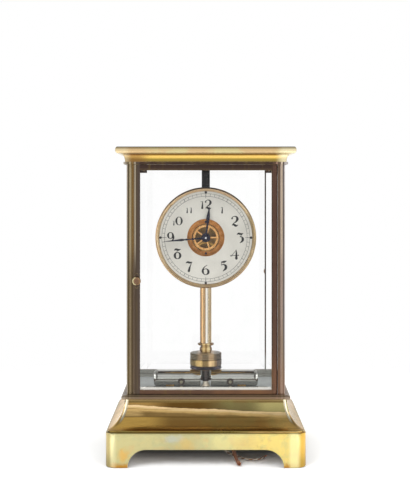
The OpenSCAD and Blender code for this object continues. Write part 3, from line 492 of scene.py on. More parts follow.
# %% [markdown]
# The cornice repeats the theme upside down: a small hollow that flares out, a fillet, and a fat bead
# round the top. It is a shallow lid, so its loops run from the ceiling of the hollow inside, over the
# profile, to the flat roof.

# %% Cornice
CAVETTO_OUT = (1.4 * MM, 4.3 * MM)
CAVETTO_TURN = math.radians(80)
FILLET_OUT = 1 * MM
FILLET_H = 0.5 * MM
EDGE_R = 0.5 * MM
BEAD_SHARE = 0.43
BEAD_OUT = 2.2 * MM
BEAD_TURN = math.radians(70)
BEAD_R = 0.8 * MM
LID_IN = -1.2 * MM
ROOF_H = 2 * MM
ROOF_IN = (2 * MM, 4 * MM)
corn_out = corn_hi.x - post_hi.x
corn_h = corn_hi.z - corn_lo.z
bead_h = corn_h * BEAD_SHARE
cav_h = corn_h - bead_h
lid = [(LID_IN, corn_hi.z - ROOF_H, EDGE_R), (LID_IN, corn_lo.z, EDGE_R)]
for i in range(21):
    a = CAVETTO_TURN * i / 20
    share = (1 - math.cos(a)) / (1 - math.cos(CAVETTO_TURN))
    lid.append((CAVETTO_OUT[0] + (CAVETTO_OUT[1] - CAVETTO_OUT[0]) * share,
                corn_lo.z + (cav_h - FILLET_H) * math.sin(a) / math.sin(CAVETTO_TURN), EDGE_R))
fillet = CAVETTO_OUT[1] + FILLET_OUT
lid += [(fillet, corn_lo.z + cav_h - FILLET_H, EDGE_R), (fillet, corn_lo.z + cav_h, EDGE_R)]
for i in range(25):
    a = BEAD_TURN * (i / 12 - 1)
    lid.append((corn_out - BEAD_OUT + BEAD_OUT * math.cos(a),
                corn_hi.z - bead_h / 2 + bead_h / 2 * math.sin(a) / math.sin(BEAD_TURN), BEAD_R))
lid += [(corn_out - inset, corn_hi.z, BEAD_R) for inset in ROOF_IN]
moulding("cornice_moulding", post_hi.x, post_hi.y, lid, "cornice", skin=lidded)

# %% [markdown]
# The front pane is plate glass with a bevel ground by hand, so its four bevels are not equally wide. A
# bevel bends what is seen through it, and its width decides how the inside looks along the frame: the
# pane of the solids has one width all round, so it is built again here. The borders stay sharp, because a
# smooth one would bend the whole view.

# %% Front pane
PANE_RIM = 1.4 * MM
BEVEL_LEFT, BEVEL_RIGHT, BEVEL_FOOT, BEVEL_HEAD = 8.1 * MM, 6.7 * MM, 4.8 * MM, 4.2 * MM
pane_lo, pane_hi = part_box("front_glass")


def pane_loop(left, right, foot, head, y):
    return [Vector((x, y, z)) for x, z in (
        (pane_lo.x + left, pane_lo.z + foot), (pane_hi.x - right, pane_lo.z + foot),
        (pane_hi.x - right, pane_hi.z - head), (pane_lo.x + left, pane_hi.z - head))]


pane_loops = [pane_loop(0, 0, 0, 0, pane_hi.y), pane_loop(0, 0, 0, 0, pane_hi.y - PANE_RIM),
              pane_loop(BEVEL_LEFT, BEVEL_RIGHT, BEVEL_FOOT, BEVEL_HEAD, pane_lo.y)]
front_pane = add_piece(make_mesh("front_pane", *lidded(pane_loops), sharp=5), "front_door")
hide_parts("front_glass")

# %% [markdown]
# The pendulum hangs from a leaf of spring steel that is clamped at both ends and bends as the pendulum
# swings. A stiff leaf would cut through its lower clamp, so this one is made of short lengths, stacked
# from the case to the pendulum.

# %% Suspension spring
LEAF_STEPS = 28
leaf_lo, leaf_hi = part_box("suspension_spring")


def leaf_loop(share):
    z = leaf_lo.z + (leaf_hi.z - leaf_lo.z) * share
    return [Vector((leaf_lo.x, leaf_lo.y, z)), Vector((leaf_hi.x, leaf_lo.y, z)),
            Vector((leaf_hi.x, leaf_hi.y, z)), Vector((leaf_lo.x, leaf_hi.y, z))]


leaf_mesh = make_mesh("spring_leaf", *lidded([leaf_loop(i / LEAF_STEPS) for i in range(LEAF_STEPS + 1)]))
leaf = bpy.data.objects.new("spring_leaf", leaf_mesh)
bpy.context.scene.collection.objects.link(leaf)
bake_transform(leaf)
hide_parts("suspension_spring")
print("piece", leaf.name, "faces", len(leaf_mesh.polygons))

# %% [markdown]
# The rating nut raises and lowers the bob, and fingers turn it, so its four beads are milled. The milling
# is modelled: the radius of each bead dips between its teeth. It turns with its own body.

# %% Milled rating nut
MILL_TEETH = 84
MILL_DEEP = 0.22 * MM
MILL_CUT = (0, 0.5, 1, 0.5)
NUT_BORE = 3.05 * MM
NUT_TOP_IN = 0.9 * MM
RIBS = 4
RIB_LINE = [(0.04, 0.55 * MM, 0), (0.26, 0.12 * MM, 1), (0.5, 0, 1), (0.74, 0.12 * MM, 1),
            (0.96, 0.55 * MM, 0)]
nut_lo, nut_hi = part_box("rating_nut")
nut_r = nut_hi.x
nut_y = (nut_lo.y + nut_hi.y) / 2
rib_h = (nut_hi.z - nut_lo.z) / RIBS
nut_line = [(NUT_BORE, nut_lo.z, 0)]
for i in range(RIBS):
    nut_line += [(nut_r - inset, nut_lo.z + rib_h * (i + share), milled) for share, inset, milled in RIB_LINE]
nut_line += [(nut_r - NUT_TOP_IN, nut_hi.z, 0), (NUT_BORE, nut_hi.z, 0)]
cuts = len(MILL_CUT)
nut_loops = []
for r, z, milled in nut_line:
    loop = []
    for k in range(MILL_TEETH * cuts):
        a = 2 * math.pi * k / (MILL_TEETH * cuts)
        dip = milled * MILL_DEEP * MILL_CUT[k % cuts]
        loop.append(Vector(((r - dip) * math.cos(a), nut_y + (r - dip) * math.sin(a), z)))
    nut_loops.append(loop)
milled_nut = add_piece(make_mesh("milled_nut", *shell(nut_loops), sharp=30), "rating_nut")
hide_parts("rating_nut")

# %% [markdown]
# The dial is printed in black: two fine circles with a tick for each minute between them, a dot at each
# quarter, and twelve numerals in a high-contrast style with swelling strokes. A font would not have these
# shapes, so each numeral is a set of pen strokes. A stroke is a list of places with the width of the pen
# there, in parts of the height of the numeral, and the ink stands a little proud of the silver.

# %% Pen strokes
INK = 0.08 * MM
FINEST = 0.06 * MM
BOLD = 1.4
dial_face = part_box("dial")[0].y
hand_lo, hand_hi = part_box("hand_nut")
DIAL_X = (hand_lo.x + hand_hi.x) / 2
DIAL_Z = (hand_lo.z + hand_hi.z) / 2


def on_dial(x, z, high=0.0):
    return Vector((DIAL_X + x, dial_face - high, DIAL_Z + z))


def pen(stroke, height, x, z):
    """Ink of one stroke, as a strip with round ends."""
    knots = [Vector((px, pz, w * BOLD)) * height for px, pz, w in stroke]
    line = smooth_route(knots, 7)
    first, last = line[0], line[-1]
    back = (first - line[1]).xy.normalized() * first.z / 2
    on = (last - line[-2]).xy.normalized() * last.z / 2
    ends = [math.sin(math.pi / 2 * i / 4) for i in range(5)]
    head = [Vector((*(first.xy + back * t), first.z * math.sqrt(1.001 - t * t))) for t in ends[:0:-1]]
    tail = [Vector((*(last.xy + on * t), last.z * math.sqrt(1.001 - t * t))) for t in ends[1:]]
    line = [*head, *line, *tail]
    points = []
    for i, p in enumerate(line):
        way = (line[min(i + 1, len(line) - 1)] - line[max(i - 1, 0)]).xy.normalized()
        side = Vector((-way.y, way.x)) * max(p.z, FINEST) / 2
        for edge, high in ((side, INK), (-side, INK), (-side, 0), (side, 0)):
            points.append(on_dial(x + p.x + edge.x, z + p.y + edge.y, high))
    faces = [[4 * i + b, 4 * i + 4 + b, 4 * i + 4 + a, 4 * i + a]
             for i in range(len(line) - 1) for a, b in ((0, 1), (1, 2), (2, 3), (3, 0))]
    faces += [[3, 2, 1, 0], [4 * len(line) - 4 + i for i in range(4)]]
    return points, faces


def oval(x, z, rx, rz, thick, thin):
    """A loop whose sides are thick and whose top and bottom are thin."""
    made = []
    for i in range(25):
        a = math.radians(90 + 360 * i / 24)
        made.append((x + rx * math.cos(a), z + rz * math.sin(a), thin + (thick - thin) * math.cos(a) ** 2))
    return made


WAVE_BAR = [(-0.30, 0.36, 0.05), (-0.16, 0.44, 0.13), (0.08, 0.39, 0.13), (0.28, 0.45, 0.04)]
STROKES = {
    "0": [oval(0, 0, 0.31, 0.46, 0.16, 0.04)],
    "1": [[(0.03, 0.48, 0.05), (0.01, 0.2, 0.11), (-0.02, -0.2, 0.16), (-0.03, -0.44, 0.2)],
          [(0.02, 0.46, 0.03), (-0.12, 0.41, 0.04), (-0.2, 0.43, 0.07)]],
    "2": [[(-0.25, 0.27, 0.13), (-0.21, 0.38, 0.05), (-0.02, 0.47, 0.045), (0.18, 0.4, 0.11),
           (0.26, 0.2, 0.17), (0.15, -0.02, 0.11), (-0.08, -0.2, 0.05), (-0.25, -0.38, 0.04)],
          [(-0.25, -0.38, 0.05), (-0.1, -0.33, 0.13), (0.1, -0.44, 0.15), (0.26, -0.41, 0.06),
           (0.3, -0.34, 0.03)]],
    "3": [WAVE_BAR, [(0.27, 0.45, 0.035), (0.12, 0.28, 0.035), (-0.02, 0.13, 0.035)],
          [(-0.02, 0.13, 0.04), (0.14, 0.11, 0.07), (0.25, -0.06, 0.17), (0.22, -0.27, 0.15),
           (-0.02, -0.48, 0.04)]],
    "4": [[(0.11, 0.48, 0.03), (0.13, 0.2, 0.1), (0.13, -0.2, 0.15), (0.13, -0.42, 0.2)],
          [(-0.34, -0.13, 0.05), (-0.15, -0.1, 0.04), (0.12, -0.12, 0.05), (0.38, -0.1, 0.06)],
          [(0.11, 0.48, 0.03), (-0.1, 0.16, 0.03), (-0.36, -0.12, 0.03)],
          oval(-0.42, -0.15, 0.07, 0.06, 0.035, 0.03)],
    "5": [[(-0.2, 0.4, 0.05), (-0.06, 0.4, 0.11), (0.1, 0.43, 0.13), (0.28, 0.49, 0.04)],
          [(-0.19, 0.4, 0.035), (-0.2, 0.25, 0.035), (-0.21, 0.1, 0.035)],
          [(-0.21, 0.1, 0.04), (0.02, 0.16, 0.07), (0.22, 0.0, 0.17), (0.2, -0.24, 0.16),
           (-0.04, -0.48, 0.04)]],
    "6": [[(0.14, 0.48, 0.035), (-0.08, 0.34, 0.05), (-0.26, 0.08, 0.12), (-0.29, -0.18, 0.15),
           (-0.16, -0.42, 0.07), (0.04, -0.47, 0.05), (0.24, -0.33, 0.14), (0.26, -0.1, 0.16),
           (0.12, 0.09, 0.07), (-0.08, 0.1, 0.04), (-0.25, -0.02, 0.04)]],
    "7": [WAVE_BAR, [(0.27, 0.45, 0.03), (0.14, 0.15, 0.06), (0.03, -0.15, 0.13), (-0.04, -0.43, 0.17)]],
    "8": [WAVE_BAR, [(0.26, 0.44, 0.03), (0.02, 0.3, 0.03), (-0.1, 0.17, 0.03)],
          oval(0, -0.16, 0.26, 0.31, 0.16, 0.05)],
    "9": [oval(-0.06, 0.14, 0.28, 0.34, 0.15, 0.05),
          [(0.22, 0.14, 0.16), (0.27, -0.1, 0.17), (0.22, -0.32, 0.09), (0.0, -0.48, 0.04)]]}
print("numerals drawn with", sum(len(s) for s in STROKES.values()), "strokes")

# %% [markdown]
# The numerals of the real dial were drawn by hand and differ in size: 10 and 12 have a small 1 beside a
# large second figure, and 11 is two small ones. Each entry gives one figure with its height and its place
# from the dial's centre, in millimetres.

# %% Numerals
PLACES = [("1", 7.2, -3.3, 32.2), ("2", 9.4, 2.2, 32.6), ("1", 5.8, 16.2, 27), ("2", 10.2, 28.4, 16.2),
          ("3", 10, 33.8, -0.4), ("4", 9.4, 28.8, -16.4), ("5", 10.2, 17.4, -28), ("6", 9.8, -0.1, -31.8),
          ("7", 10, -16.3, -28.5), ("8", 10.2, -27.8, -16), ("9", 8.6, -34.2, 0.9), ("1", 4.4, -31.3, 14.4),
          ("0", 8.6, -26.3, 16.4), ("1", 4.9, -18.2, 26.8), ("1", 5.2, -14.3, 26.9)]
ink = [pen(stroke, h * MM, x * MM, z * MM) for figure, h, x, z in PLACES for stroke in STROKES[figure]]
add_piece(make_mesh("dial_numerals", *join(ink), sharp=30), "case")

# %% [markdown]
# The minute track is ink too, thinner than the numerals. The ticks of the hours are bolder than those of
# the minutes, and at each quarter a longer tick runs out to a dot.

# %% Minute track
TRACK_IN = 40.6 * MM
TRACK_OUT = 43.3 * MM
TRACK_STEPS = 180
TRACK_LINE = 0.13 * MM
HOUR_TICK = 0.2 * MM
MINUTE_TICK = 0.12 * MM
QUARTER_R = 44.6 * MM
QUARTER_DOT = 1.75 * MM
QUARTER_TICK = 0.17 * MM
QUARTER_FROM = TRACK_OUT - 4.6 * MM
QUARTER_TO = TRACK_OUT + 1 * MM


def ring_line(radius):
    inner, outer = radius - TRACK_LINE, radius + TRACK_LINE
    section = ((inner, 0), (inner, INK / 2), (outer, INK / 2), (outer, 0))
    loops = []
    for i in range(TRACK_STEPS):
        a = 2 * math.pi * i / TRACK_STEPS
        loops.append([on_dial(r * math.cos(a), r * math.sin(a), high) for r, high in section])
    return shell(loops)


def tick(angle, r0, r1, width):
    a = math.radians(angle)
    way, side = Vector((math.sin(a), math.cos(a))), Vector((math.cos(a), -math.sin(a))) * width
    corners = [way * r0 - side, way * r0 + side, way * r1 + side, way * r1 - side]
    points = [on_dial(c.x, c.y, high) for high in (INK / 2, 0) for c in corners]
    return points, [[3, 2, 1, 0], [4, 5, 6, 7], [0, 1, 5, 4], [1, 2, 6, 5], [2, 3, 7, 6], [3, 0, 4, 7]]


track = [ring_line(TRACK_IN), ring_line(TRACK_OUT)]
track += [tick(6 * i, TRACK_IN, TRACK_OUT, MINUTE_TICK if i % 5 else HOUR_TICK) for i in range(60)]
add_piece(make_mesh("minute_track", *join(track), sharp=30), "case")
dots = []
for q in range(4):
    a = math.pi / 2 * q
    x, z = QUARTER_R * math.sin(a), QUARTER_R * math.cos(a)
    dots.append(pen([(-0.01, 0, 1.0), (0, 0, 1.0), (0.01, 0, 1.0)], QUARTER_DOT, x, z))
    dots.append(tick(90 * q, QUARTER_FROM, QUARTER_TO, QUARTER_TICK))
add_piece(make_mesh("quarter_dots", *join(dots), sharp=30), "case")

# %% [markdown]
# Two slotted screws hold the copper ring round the open centre. A screw head is a shallow dome, and its
# slot is made by lowering a band across it, so the head stays one closed mesh.

# %% Ring screws
EYE_SCREW_R = 15.5 * MM
HEAD_R = 1.15 * MM
HEAD_H = 1 * MM
HEAD_SINK = 0.9 * MM
HEAD_RIM = 0.62
HEAD_RINGS = (1.0, 0.97, 0.86, 0.7, 0.5, 0.3, 0.12)
HEAD_TURNS = [2 * math.pi * k / 40 for k in range(40)]
SLOT_HALF = 0.2
SLOT_DEEP = 0.45


def slotted_head(x, z, turn):
    floor_y = dial_face + HEAD_SINK
    loops = [[Vector((x + HEAD_R * math.cos(a), floor_y, z + HEAD_R * math.sin(a))) for a in HEAD_TURNS]]
    for ring in HEAD_RINGS:
        loop = []
        for a in HEAD_TURNS:
            u, v = ring * math.cos(a), ring * math.sin(a)
            up = HEAD_RIM + (1 - HEAD_RIM) * math.sqrt(1 - ring * ring)
            if abs(u * math.sin(turn) - v * math.cos(turn)) < SLOT_HALF:
                up -= SLOT_DEEP
            loop.append(Vector((x + HEAD_R * u, floor_y - HEAD_H * up, z + HEAD_R * v)))
        loops.append(loop)
    return lidded(loops)


heads = [slotted_head(DIAL_X, DIAL_Z + EYE_SCREW_R, 0.5), slotted_head(DIAL_X, DIAL_Z - EYE_SCREW_R, 1.1)]
add_piece(make_mesh("ring_screws", *join(heads), sharp=30), "case")

# %% [markdown]
# A shader is a graph of nodes, and long graphs are hard to read as calls. So a wire stands for one
# socket: adding or multiplying wires adds Math nodes, and one method makes any other node. Its settings
# are set first, because some of them change which sockets a node has.


# %% Wires
class Wire:
    def __init__(self, tree, socket=None):
        self.tree = tree
        self.socket = socket

    def node(self, kind, settings=None, sockets=None, out=0):
        made = self.tree.nodes.new("ShaderNode" + kind)
        for name, value in (settings or {}).items():
            setattr(made, name, value)
        for name, value in (sockets or {}).items():
            if isinstance(value, Wire):
                self.tree.links.new(value.socket, made.inputs[name])
            else:
                made.inputs[name].default_value = value
        return Wire(self.tree, made.outputs[out]) if made.outputs else None

    def math(self, operation, *values):
        return self.node("Math", {"operation": operation}, dict(enumerate(values)))

    def vector(self, operation, *values, out=0):
        return self.node("VectorMath", {"operation": operation}, dict(enumerate((self, *values))), out)

    def __add__(self, other):
        return self.math("ADD", self, other)

    __radd__ = __add__

    def __sub__(self, other):
        return self.math("SUBTRACT", self, other)

    def __rsub__(self, other):
        return self.math("SUBTRACT", other, self)

    def __mul__(self, other):
        return self.math("MULTIPLY", self, other)

    __rmul__ = __mul__

    def __abs__(self):
        return self.math("ABSOLUTE", self)


def blank(owner):
    """The emptied node tree of a material or a world, as a wire to start from."""
    owner.use_nodes = True
    owner.node_tree.nodes.clear()
    return Wire(owner.node_tree)


# %% [markdown]
# A few words are enough to describe all the finishes of the clock. Clouds are noise whose size is given
# in millimetres, fade turns a value into a soft mask, tint lays one colour over another, and bands does
# so again and again along a measure. Places are measured in millimetres too, as on the drawing of the
# clock.


# %% Words for finishes
def paint(code):
    """A colour as it appears on screen, such as c9a84e, in the linear values that a shader takes."""
    shares = [int(code[i:i + 2], 16) / 255 for i in (0, 2, 4)]
    return (*[s / 12.92 if s < 0.04045 else ((s + 0.055) / 1.055) ** 2.4 for s in shares], 1.0)


def part_of(place, axis):
    return place.node("SeparateXYZ", {}, {0: place}, out=axis)


def mm_of(place, axis):
    return part_of(place, axis) * (1 / MM)


def spread(place, x, y, z):
    return place.vector("MULTIPLY", (x, y, z))


def size_of(vector):
    return vector.vector("LENGTH", out="Value")


def cloud(place, size, detail=4.0, rough=0.55, warp=0.0):
    return place.node("TexNoise", {}, {"Vector": place, "Scale": 1 / (size * MM), "Detail": detail,
                                       "Roughness": rough, "Distortion": warp})


def fade(value, low, high):
    return value.node("MapRange", {"interpolation_type": "SMOOTHSTEP"},
                      {"Value": value, "From Min": low, "From Max": high})


def tint(share, under, over):
    return share.node("Mix", {"data_type": "RGBA"}, {0: share, 6: under, 7: over}, out=2)


def bands(value, colour, *stops):
    """Colours that follow each other as the value grows; a stop says where its colour starts and is full."""
    for low, high, code in stops:
        colour = tint(fade(value, low, high), colour, paint(code))
    return colour


def relief(height, deep):
    return height.node("Bump", {}, {"Height": height, "Distance": deep * MM})


finishes = {}


def surface(colour, rough, bump, metallic=1.0):
    return {"Base Color": colour, "Roughness": rough, "Normal": bump, "Metallic": metallic}


def finish(name, recipe):
    finishes[name] = bpy.data.materials.new(name)
    wire = blank(finishes[name])
    shader = wire.node("BsdfPrincipled", {}, recipe(wire.node("TexCoord", out="Object")))
    wire.node("OutputMaterial", {}, {"Surface": shader})
    print("finish", name)


# %% [markdown]
# Most of the clock is brass that was polished long ago. Seen close, such brass has broad clouds of a
# deeper gold, small brown stains, and hairlines from polishing cloths that make its gloss uneven. One
# recipe with a few numbers gives every plain brass, copper and steel of the clock: three colours, the
# size of the clouds, the range of the roughness and how strong the stains are.


# %% Plain metals
def metal(light, deep, stain, size, gloss, stained=0.5):
    def recipe(place):
        broad = cloud(place, size, 5)
        small = cloud(place, size / 7, warp=0.6)
        hair = cloud(place, 0.6, 3)
        colour = tint(fade(broad, 0.36, 0.64), paint(light), paint(deep))
        colour = tint(fade(small, 0.54, 0.74) * stained, colour, paint(stain))
        rough = gloss[0] + (gloss[1] - gloss[0]) * (0.6 * small + 0.4 * hair)
        return surface(colour, rough, relief(hair, 0.012))
    return recipe


METALS = {
    "polished_brass": metal("e2c878", "c9ab5c", "9a7a3a", 24, (0.12, 0.3)),
    "gilt_brass": metal("dcae62", "b98a44", "8a6230", 9, (0.14, 0.3), 0.6),
    "movement_brass": metal("b08a48", "8e6c34", "6a4a24", 7, (0.2, 0.4), 0.6),
    "movement_dark": metal("7c6036", "5e4626", "4a3420", 6, (0.26, 0.46), 0.6),
    "pale_brass": metal("eab676", "d09a5a", "a0703c", 5, (0.18, 0.34), 0.4),
    "copper_plate": metal("c48748", "a46a34", "744622", 4, (0.24, 0.44), 0.6),
    "steel_fittings": metal("9a9690", "7c7872", "4e4640", 5, (0.22, 0.42)),
    "grey_steel": metal("a1967c", "887d62", "5e5442", 6, (0.22, 0.4), 0.6),
    "dark_iron": metal("766c6a", "5c5452", "6c5648", 4, (0.3, 0.55)),
    "dark_bronze": metal("1c1416", "110d0e", "2c1e18", 8, (0.4, 0.6), 0.4),
    "blued_steel": metal("2c2c3e", "20202e", "3c2c30", 3, (0.22, 0.38)),
    "copper_wire": metal("d0814c", "b0602f", "6c3a1e", 2, (0.25, 0.45), 0.4),
    "raw_casting": metal("3c342a", "2c261e", "1e1a16", 8, (0.5, 0.7))}
for name, recipe in METALS.items():
    finish(name, recipe)

# %% [markdown]
# The pendulum was turned and polished, and shows the room as upright streaks: a bright one for each
# window, a dark one between them. The room of this scene is simpler than a real one, so these streaks
# are painted reflections, laid as bands across the rod, the ferrule, the nut and the bob ring. The rod was
# drawn through a die and lacquered, and the lacquer has worn off in long lines. The iron disc has a brass
# plate under it.


# %% Pendulum
def rod(place):
    long_grain = cloud(spread(place, 1, 1, 0.03), 2)
    x = mm_of(place, "X") + 0.5 * (long_grain - 0.5)
    # The bands across x are painted reflections: light and dark upright streaks of the room.
    colour = bands(x, paint("94703f"), (-4.5, -3.7, "f4c992"), (-2.2, -1.8, "b28d60"),
                   (-1.2, -0.9, "a18d72"), (-0.4, 0.1, "f4efe4"), (1.5, 1.8, "cdc3ac"), (2.4, 2.7, "f2dfba"),
                   (3.3, 3.7, "8e744a"), (4.3, 4.6, "ac9878"), (5.2, 5.6, "f8e6cc"))
    return surface(colour, 0.12 + 0.12 * long_grain, relief(long_grain, 0.006))


def turned(low, *stops, shine=0.5):
    def recipe(place):
        small = cloud(place, 1.5)
        lines = cloud(spread(place, 0.1, 0.1, 1), 0.5, 3)
        x = mm_of(place, "X") + 1.2 * (small - 0.5)
        # The bands across x are painted reflections of the room, with small stains laid over them.
        colour = tint(fade(small, 0.56, 0.74) * 0.3, bands(x, paint(low), *stops), paint("5c4828"))
        return surface(colour, 0.24 + 0.2 * small, relief(lines, 0.01), shine)
    return recipe


def plated_disc(place):
    small = cloud(place, 1.2)
    under = fade(mm_of(place, "Z"), disc_foot + 0.2, disc_foot + 0.05)
    iron = tint(fade(small, 0.5, 0.7), paint("3a363c"), paint("4c3c32"))
    return surface(tint(under, iron, paint("d8b070")), 0.3 + 0.25 * small, relief(small, 0.01))


disc_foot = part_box("iron_disc")[0].z / MM
finish("rod_brass", rod)
finish("ferrule_gold", turned("7a5a30", (-4.2, -2.6, "ffdc94"), (-1.4, -0.3, "b08848"), (0.6, 2.0, "ffe6aa"),
                              (3.4, 4.6, "8a6434"), shine=0.25))
finish("nut_steel", turned("7a6e56", (-10, -6.5, "b89c78"), (-4.2, -2.5, "927e60"), (1.5, 4, "d2b48c"),
                           (7, 9.5, "8a7860"), (10, 11.5, "706456")))
finish("bob_gold", turned("7a6636", (-11.5, -7.5, "fcd68c"), (-5, -2.5, "8c7240"), (1.2, 4.5, "ffdaa0"),
                          (7.8, 9.8, "907250"), (10.4, 11.6, "60544a"), shine=0.7))
finish("plated_disc", plated_disc)

# %% [markdown]
# A few more parts have painted light of their own. The nickel of the coil tubes carries painted
# reflections as bands up its height, with painted highlights near the top and painted shade underneath.
# The nut on the hands is blued, with a painted highlight at its centre. The bezel has painted highlight
# and reflection bands round its ring, a painted lighter top, and is darker on its right side. The knobs
# are bronze, with a painted highlight on their rim.


# %% Tubes, hand nut, bezel and knobs
def nickel(place):
    broad = cloud(place, 14)
    lines = cloud(spread(place, 0.05, 1, 1), 0.6, 3)
    z = mm_of(place, "Z") + 0.5 * (broad - 0.5)
    # The bands up the height are painted reflections: highlights near the top, painted shade underneath.
    colour = bands(z, paint("666763"), (65.2, 66.0, "8c8d88"), (69.6, 70.2, "c4c5be"), (70.7, 71.1, "f4f4ee"),
                   (71.8, 72.2, "c0c2bb"), (74.4, 75.2, "f0f1ea"), (75.8, 76.3, "cccdc5"),
                   (76.8, 77.2, "94948d"), (77.8, 78.2, "e6e6de"), (79.0, 79.6, "fffffa"))
    colour = tint(fade(broad, 0.5, 0.7) * 0.25, colour, paint("96968c"))
    return surface(colour, 0.08 + 0.1 * broad, relief(lines, 0.005))


def from_axis(place, z):
    """Millimetres from the level axis that runs from front to back at a height z, in metres."""
    return size_of(spread(place.vector("SUBTRACT", (0, 0, z)), 1 / MM, 0, 1 / MM))


def blued_nut(place):
    small = cloud(place, 0.8)
    # Painted highlight: the centre of the nut is near white.
    colour = tint(fade(from_axis(place, DIAL_Z), 1.0, 0.7), paint("2a2a38"), paint("f0f0ee"))
    return surface(colour, 0.2 + 0.2 * small, relief(small, 0.004))


def bezel_gilt(place):
    broad = cloud(place, 14)
    small = cloud(place, 2)
    # Bands round the ring are a painted highlight and painted reflections of its profile.
    colour = bands(from_axis(place, DIAL_Z), paint("e6cfa8"), (44.9, 45.2, "b0946c"), (45.9, 46.3, "fde4b8"),
                   (48.0, 48.4, "b8966a"))
    colour = tint(fade(broad, 0.4, 0.6) * 0.3, colour, paint("d2a468"))
    colour = tint(fade(mm_of(place, "X") + 20 * (broad - 0.5), 36, 46) * 0.7, colour, paint("a08c60"))
    # Painted highlight: the top of the ring is lighter, where light falls on it.
    colour = tint(fade(mm_of(place, "Z"), 235, 262) * 0.7, colour, paint("fbd9ae"))
    colour = tint(fade(small, 0.58, 0.74) * 0.35, colour, paint("8e6a3e"))
    return surface(colour, 0.26 + 0.2 * small, relief(small, 0.006))


def knob(place):
    small = cloud(place, 1.2)
    inward = knob_x - abs(mm_of(place, "X"))
    off = place.node("CombineXYZ", {}, {"X": inward, "Z": mm_of(place, "Z") - knob_z})
    out = size_of(off) + 0.6 * (small - 0.5)
    colour = bands(out, paint("7c5e4a"), (1.3, 1.9, "84664e"), (3.7, 4.1, "5a4634"))
    # Painted highlight: a light crescent on the outer side of the rim, and a fainter one on the inner side.
    colour = tint(fade(out, 2.6, 3.0) * fade(inward, 0.0, -1.5), colour, paint("cabc92"))
    colour = tint(fade(out, 2.7, 3.1) * fade(inward, 0.5, 2.0) * 0.6, colour, paint("a88660"))
    return surface(colour, 0.25 + 0.2 * small, relief(small, 0.01), 0.8)


latch_axis = next(joint["pos_m"] for joint in frame["joints"] if joint["name"] == "front_latch_turn")
knob_x, knob_z = -latch_axis[0] / MM, latch_axis[2] / MM
for name, recipe in {"nickel_plate": nickel, "blued_nut": blued_nut, "bezel_gilt": bezel_gilt,
                     "knob_bronze": knob}.items():
    finish(name, recipe)

# %% [markdown]
# The brass of the base differs from place to place. The block is greener on the left and lighter and
# warmer on the right, partly its own tone and partly painted light, with an orange blush at the feet.
# Its rounded front corners carry a painted highlight just inside the edge and painted shade at the edge,
# and a painted shade runs along its top under the hollow moulding. Its rounded edges are paler, partly
# from wear and partly as a painted highlight; they are found by their normal: there, the normal of a
# rounded edge differs from the flat one.

# %% Brass of the block
BLUSHES = [((-30, -83, 27.5), (12, 30, 6), "bcc2ba", 0.6), ((-19, -83, 22), (12, 30, 9), "dcbc70", 0.6),
           ((-77, -83, 12), (8, 30, 9), "e8b456", 0.7), ((40, -83, 24), (18, 30, 10), "e4c67c", 0.5)]


def spot(place, centre, radii):
    """1 at a centre that is given in millimetres, 0 outside a ragged oval round it."""
    off = place.vector("SUBTRACT", [c * MM for c in centre])
    far = size_of(spread(off, *[1 / (r * MM) for r in radii]))
    return fade(far + 1.3 * (cloud(place, 5) - 0.5), 1.0, 0.15)


def edge_wear_and_glint(place, radius):
    flat = place.node("NewGeometry", out="Normal")
    soft = place.node("Bevel", {"samples": 4}, {"Radius": radius * MM})
    return fade(flat.vector("DOT_PRODUCT", soft, out="Value"), 0.995, 0.9)


def block_brass(place):
    x, z = mm_of(place, "X"), mm_of(place, "Z")
    broad = cloud(place, 30)
    small = cloud(place, 4, warp=0.5)
    hair = cloud(spread(place, 0.08, 0.08, 1), 0.8, 3)
    green = cloud(place, 9, 5, warp=0.4)
    orange = cloud(spread(place, -1, 1, 1.3), 11, 5, warp=0.4)
    # Lighter and warmer towards the right: partly the brass's own tone, partly painted light.
    colour = bands(x + 30 * (broad - 0.5), paint("cfc58e"), (-60, -30, "c3bb8a"), (-20, 20, "e2d898"),
                   (20, 55, "f4db82"))
    colour = tint(fade(green, 0.46, 0.66) * 0.3, colour, paint("b4b88e"))
    colour = tint(fade(orange, 0.5, 0.7) * 0.3, colour, paint("deb47a"))
    for centre, radii, code, share in BLUSHES:
        colour = tint(spot(place, centre, radii) * share, colour, paint(code))
    colour = tint(fade(z + 6 * small, 9, 4), colour, paint("c8913e"))
    # Painted shade: a narrow darker band along the top, under the lip of the hollow moulding.
    colour = tint(fade(z, block_hi.z / MM - 1.6, block_hi.z / MM) * 0.6, colour, paint("a8935a"))
    colour = tint(fade(small, 0.6, 0.78) * 0.22, colour, paint("8c6f38"))
    # Painted highlight just inside each rounded front corner, and painted shade at the edge itself.
    front = fade(mm_of(place, "Y"), -40, -70)
    colour = tint(front * fade(x, -83, -87) * 0.35, colour, paint("fdf6c4"))
    colour = tint(front * fade(x, -88.2, -91.5), colour, paint("a89868"))
    colour = tint(front * fade(x, 77, 81) * 0.7, colour, paint("fff6b4"))
    colour = tint(front * fade(x, 85.5, 90.5), colour, paint("c8a24c"))
    # Rounded edges: partly wear, partly a painted highlight.
    colour = tint(edge_wear_and_glint(place, 0.7) * 0.8, colour, paint("fdf6d2"))
    return surface(colour, 0.12 + 0.16 * small, relief(hair, 0.006))


finish("block_brass", block_brass)

# %% [markdown]
# The hollow moulding is the largest mirror of the clock, and its lacquer has gone golden brown. The room
# it shows is painted into its colour: bands up the profile are painted reflections and shade, and a
# painted reflection of a window runs across it as a light streak with a ragged border, falling to the
# right, with a darker painted reflection above it. The streak is a band round a sloping line, and a cloud
# that is stretched sideways makes its border ragged. Beside each mitre runs a painted highlight.


# %% Brass of the hollow moulding
def mitre_of(place):
    """0 on the mitres of the mouldings, where the four sides meet, and less than 0 on the front."""
    return abs(mm_of(place, "X")) - abs(mm_of(place, "Y")) - (post_hi.x - post_hi.y) / MM


def seam(place):
    return fade(abs(mitre_of(place)), 0.5, 0.15)


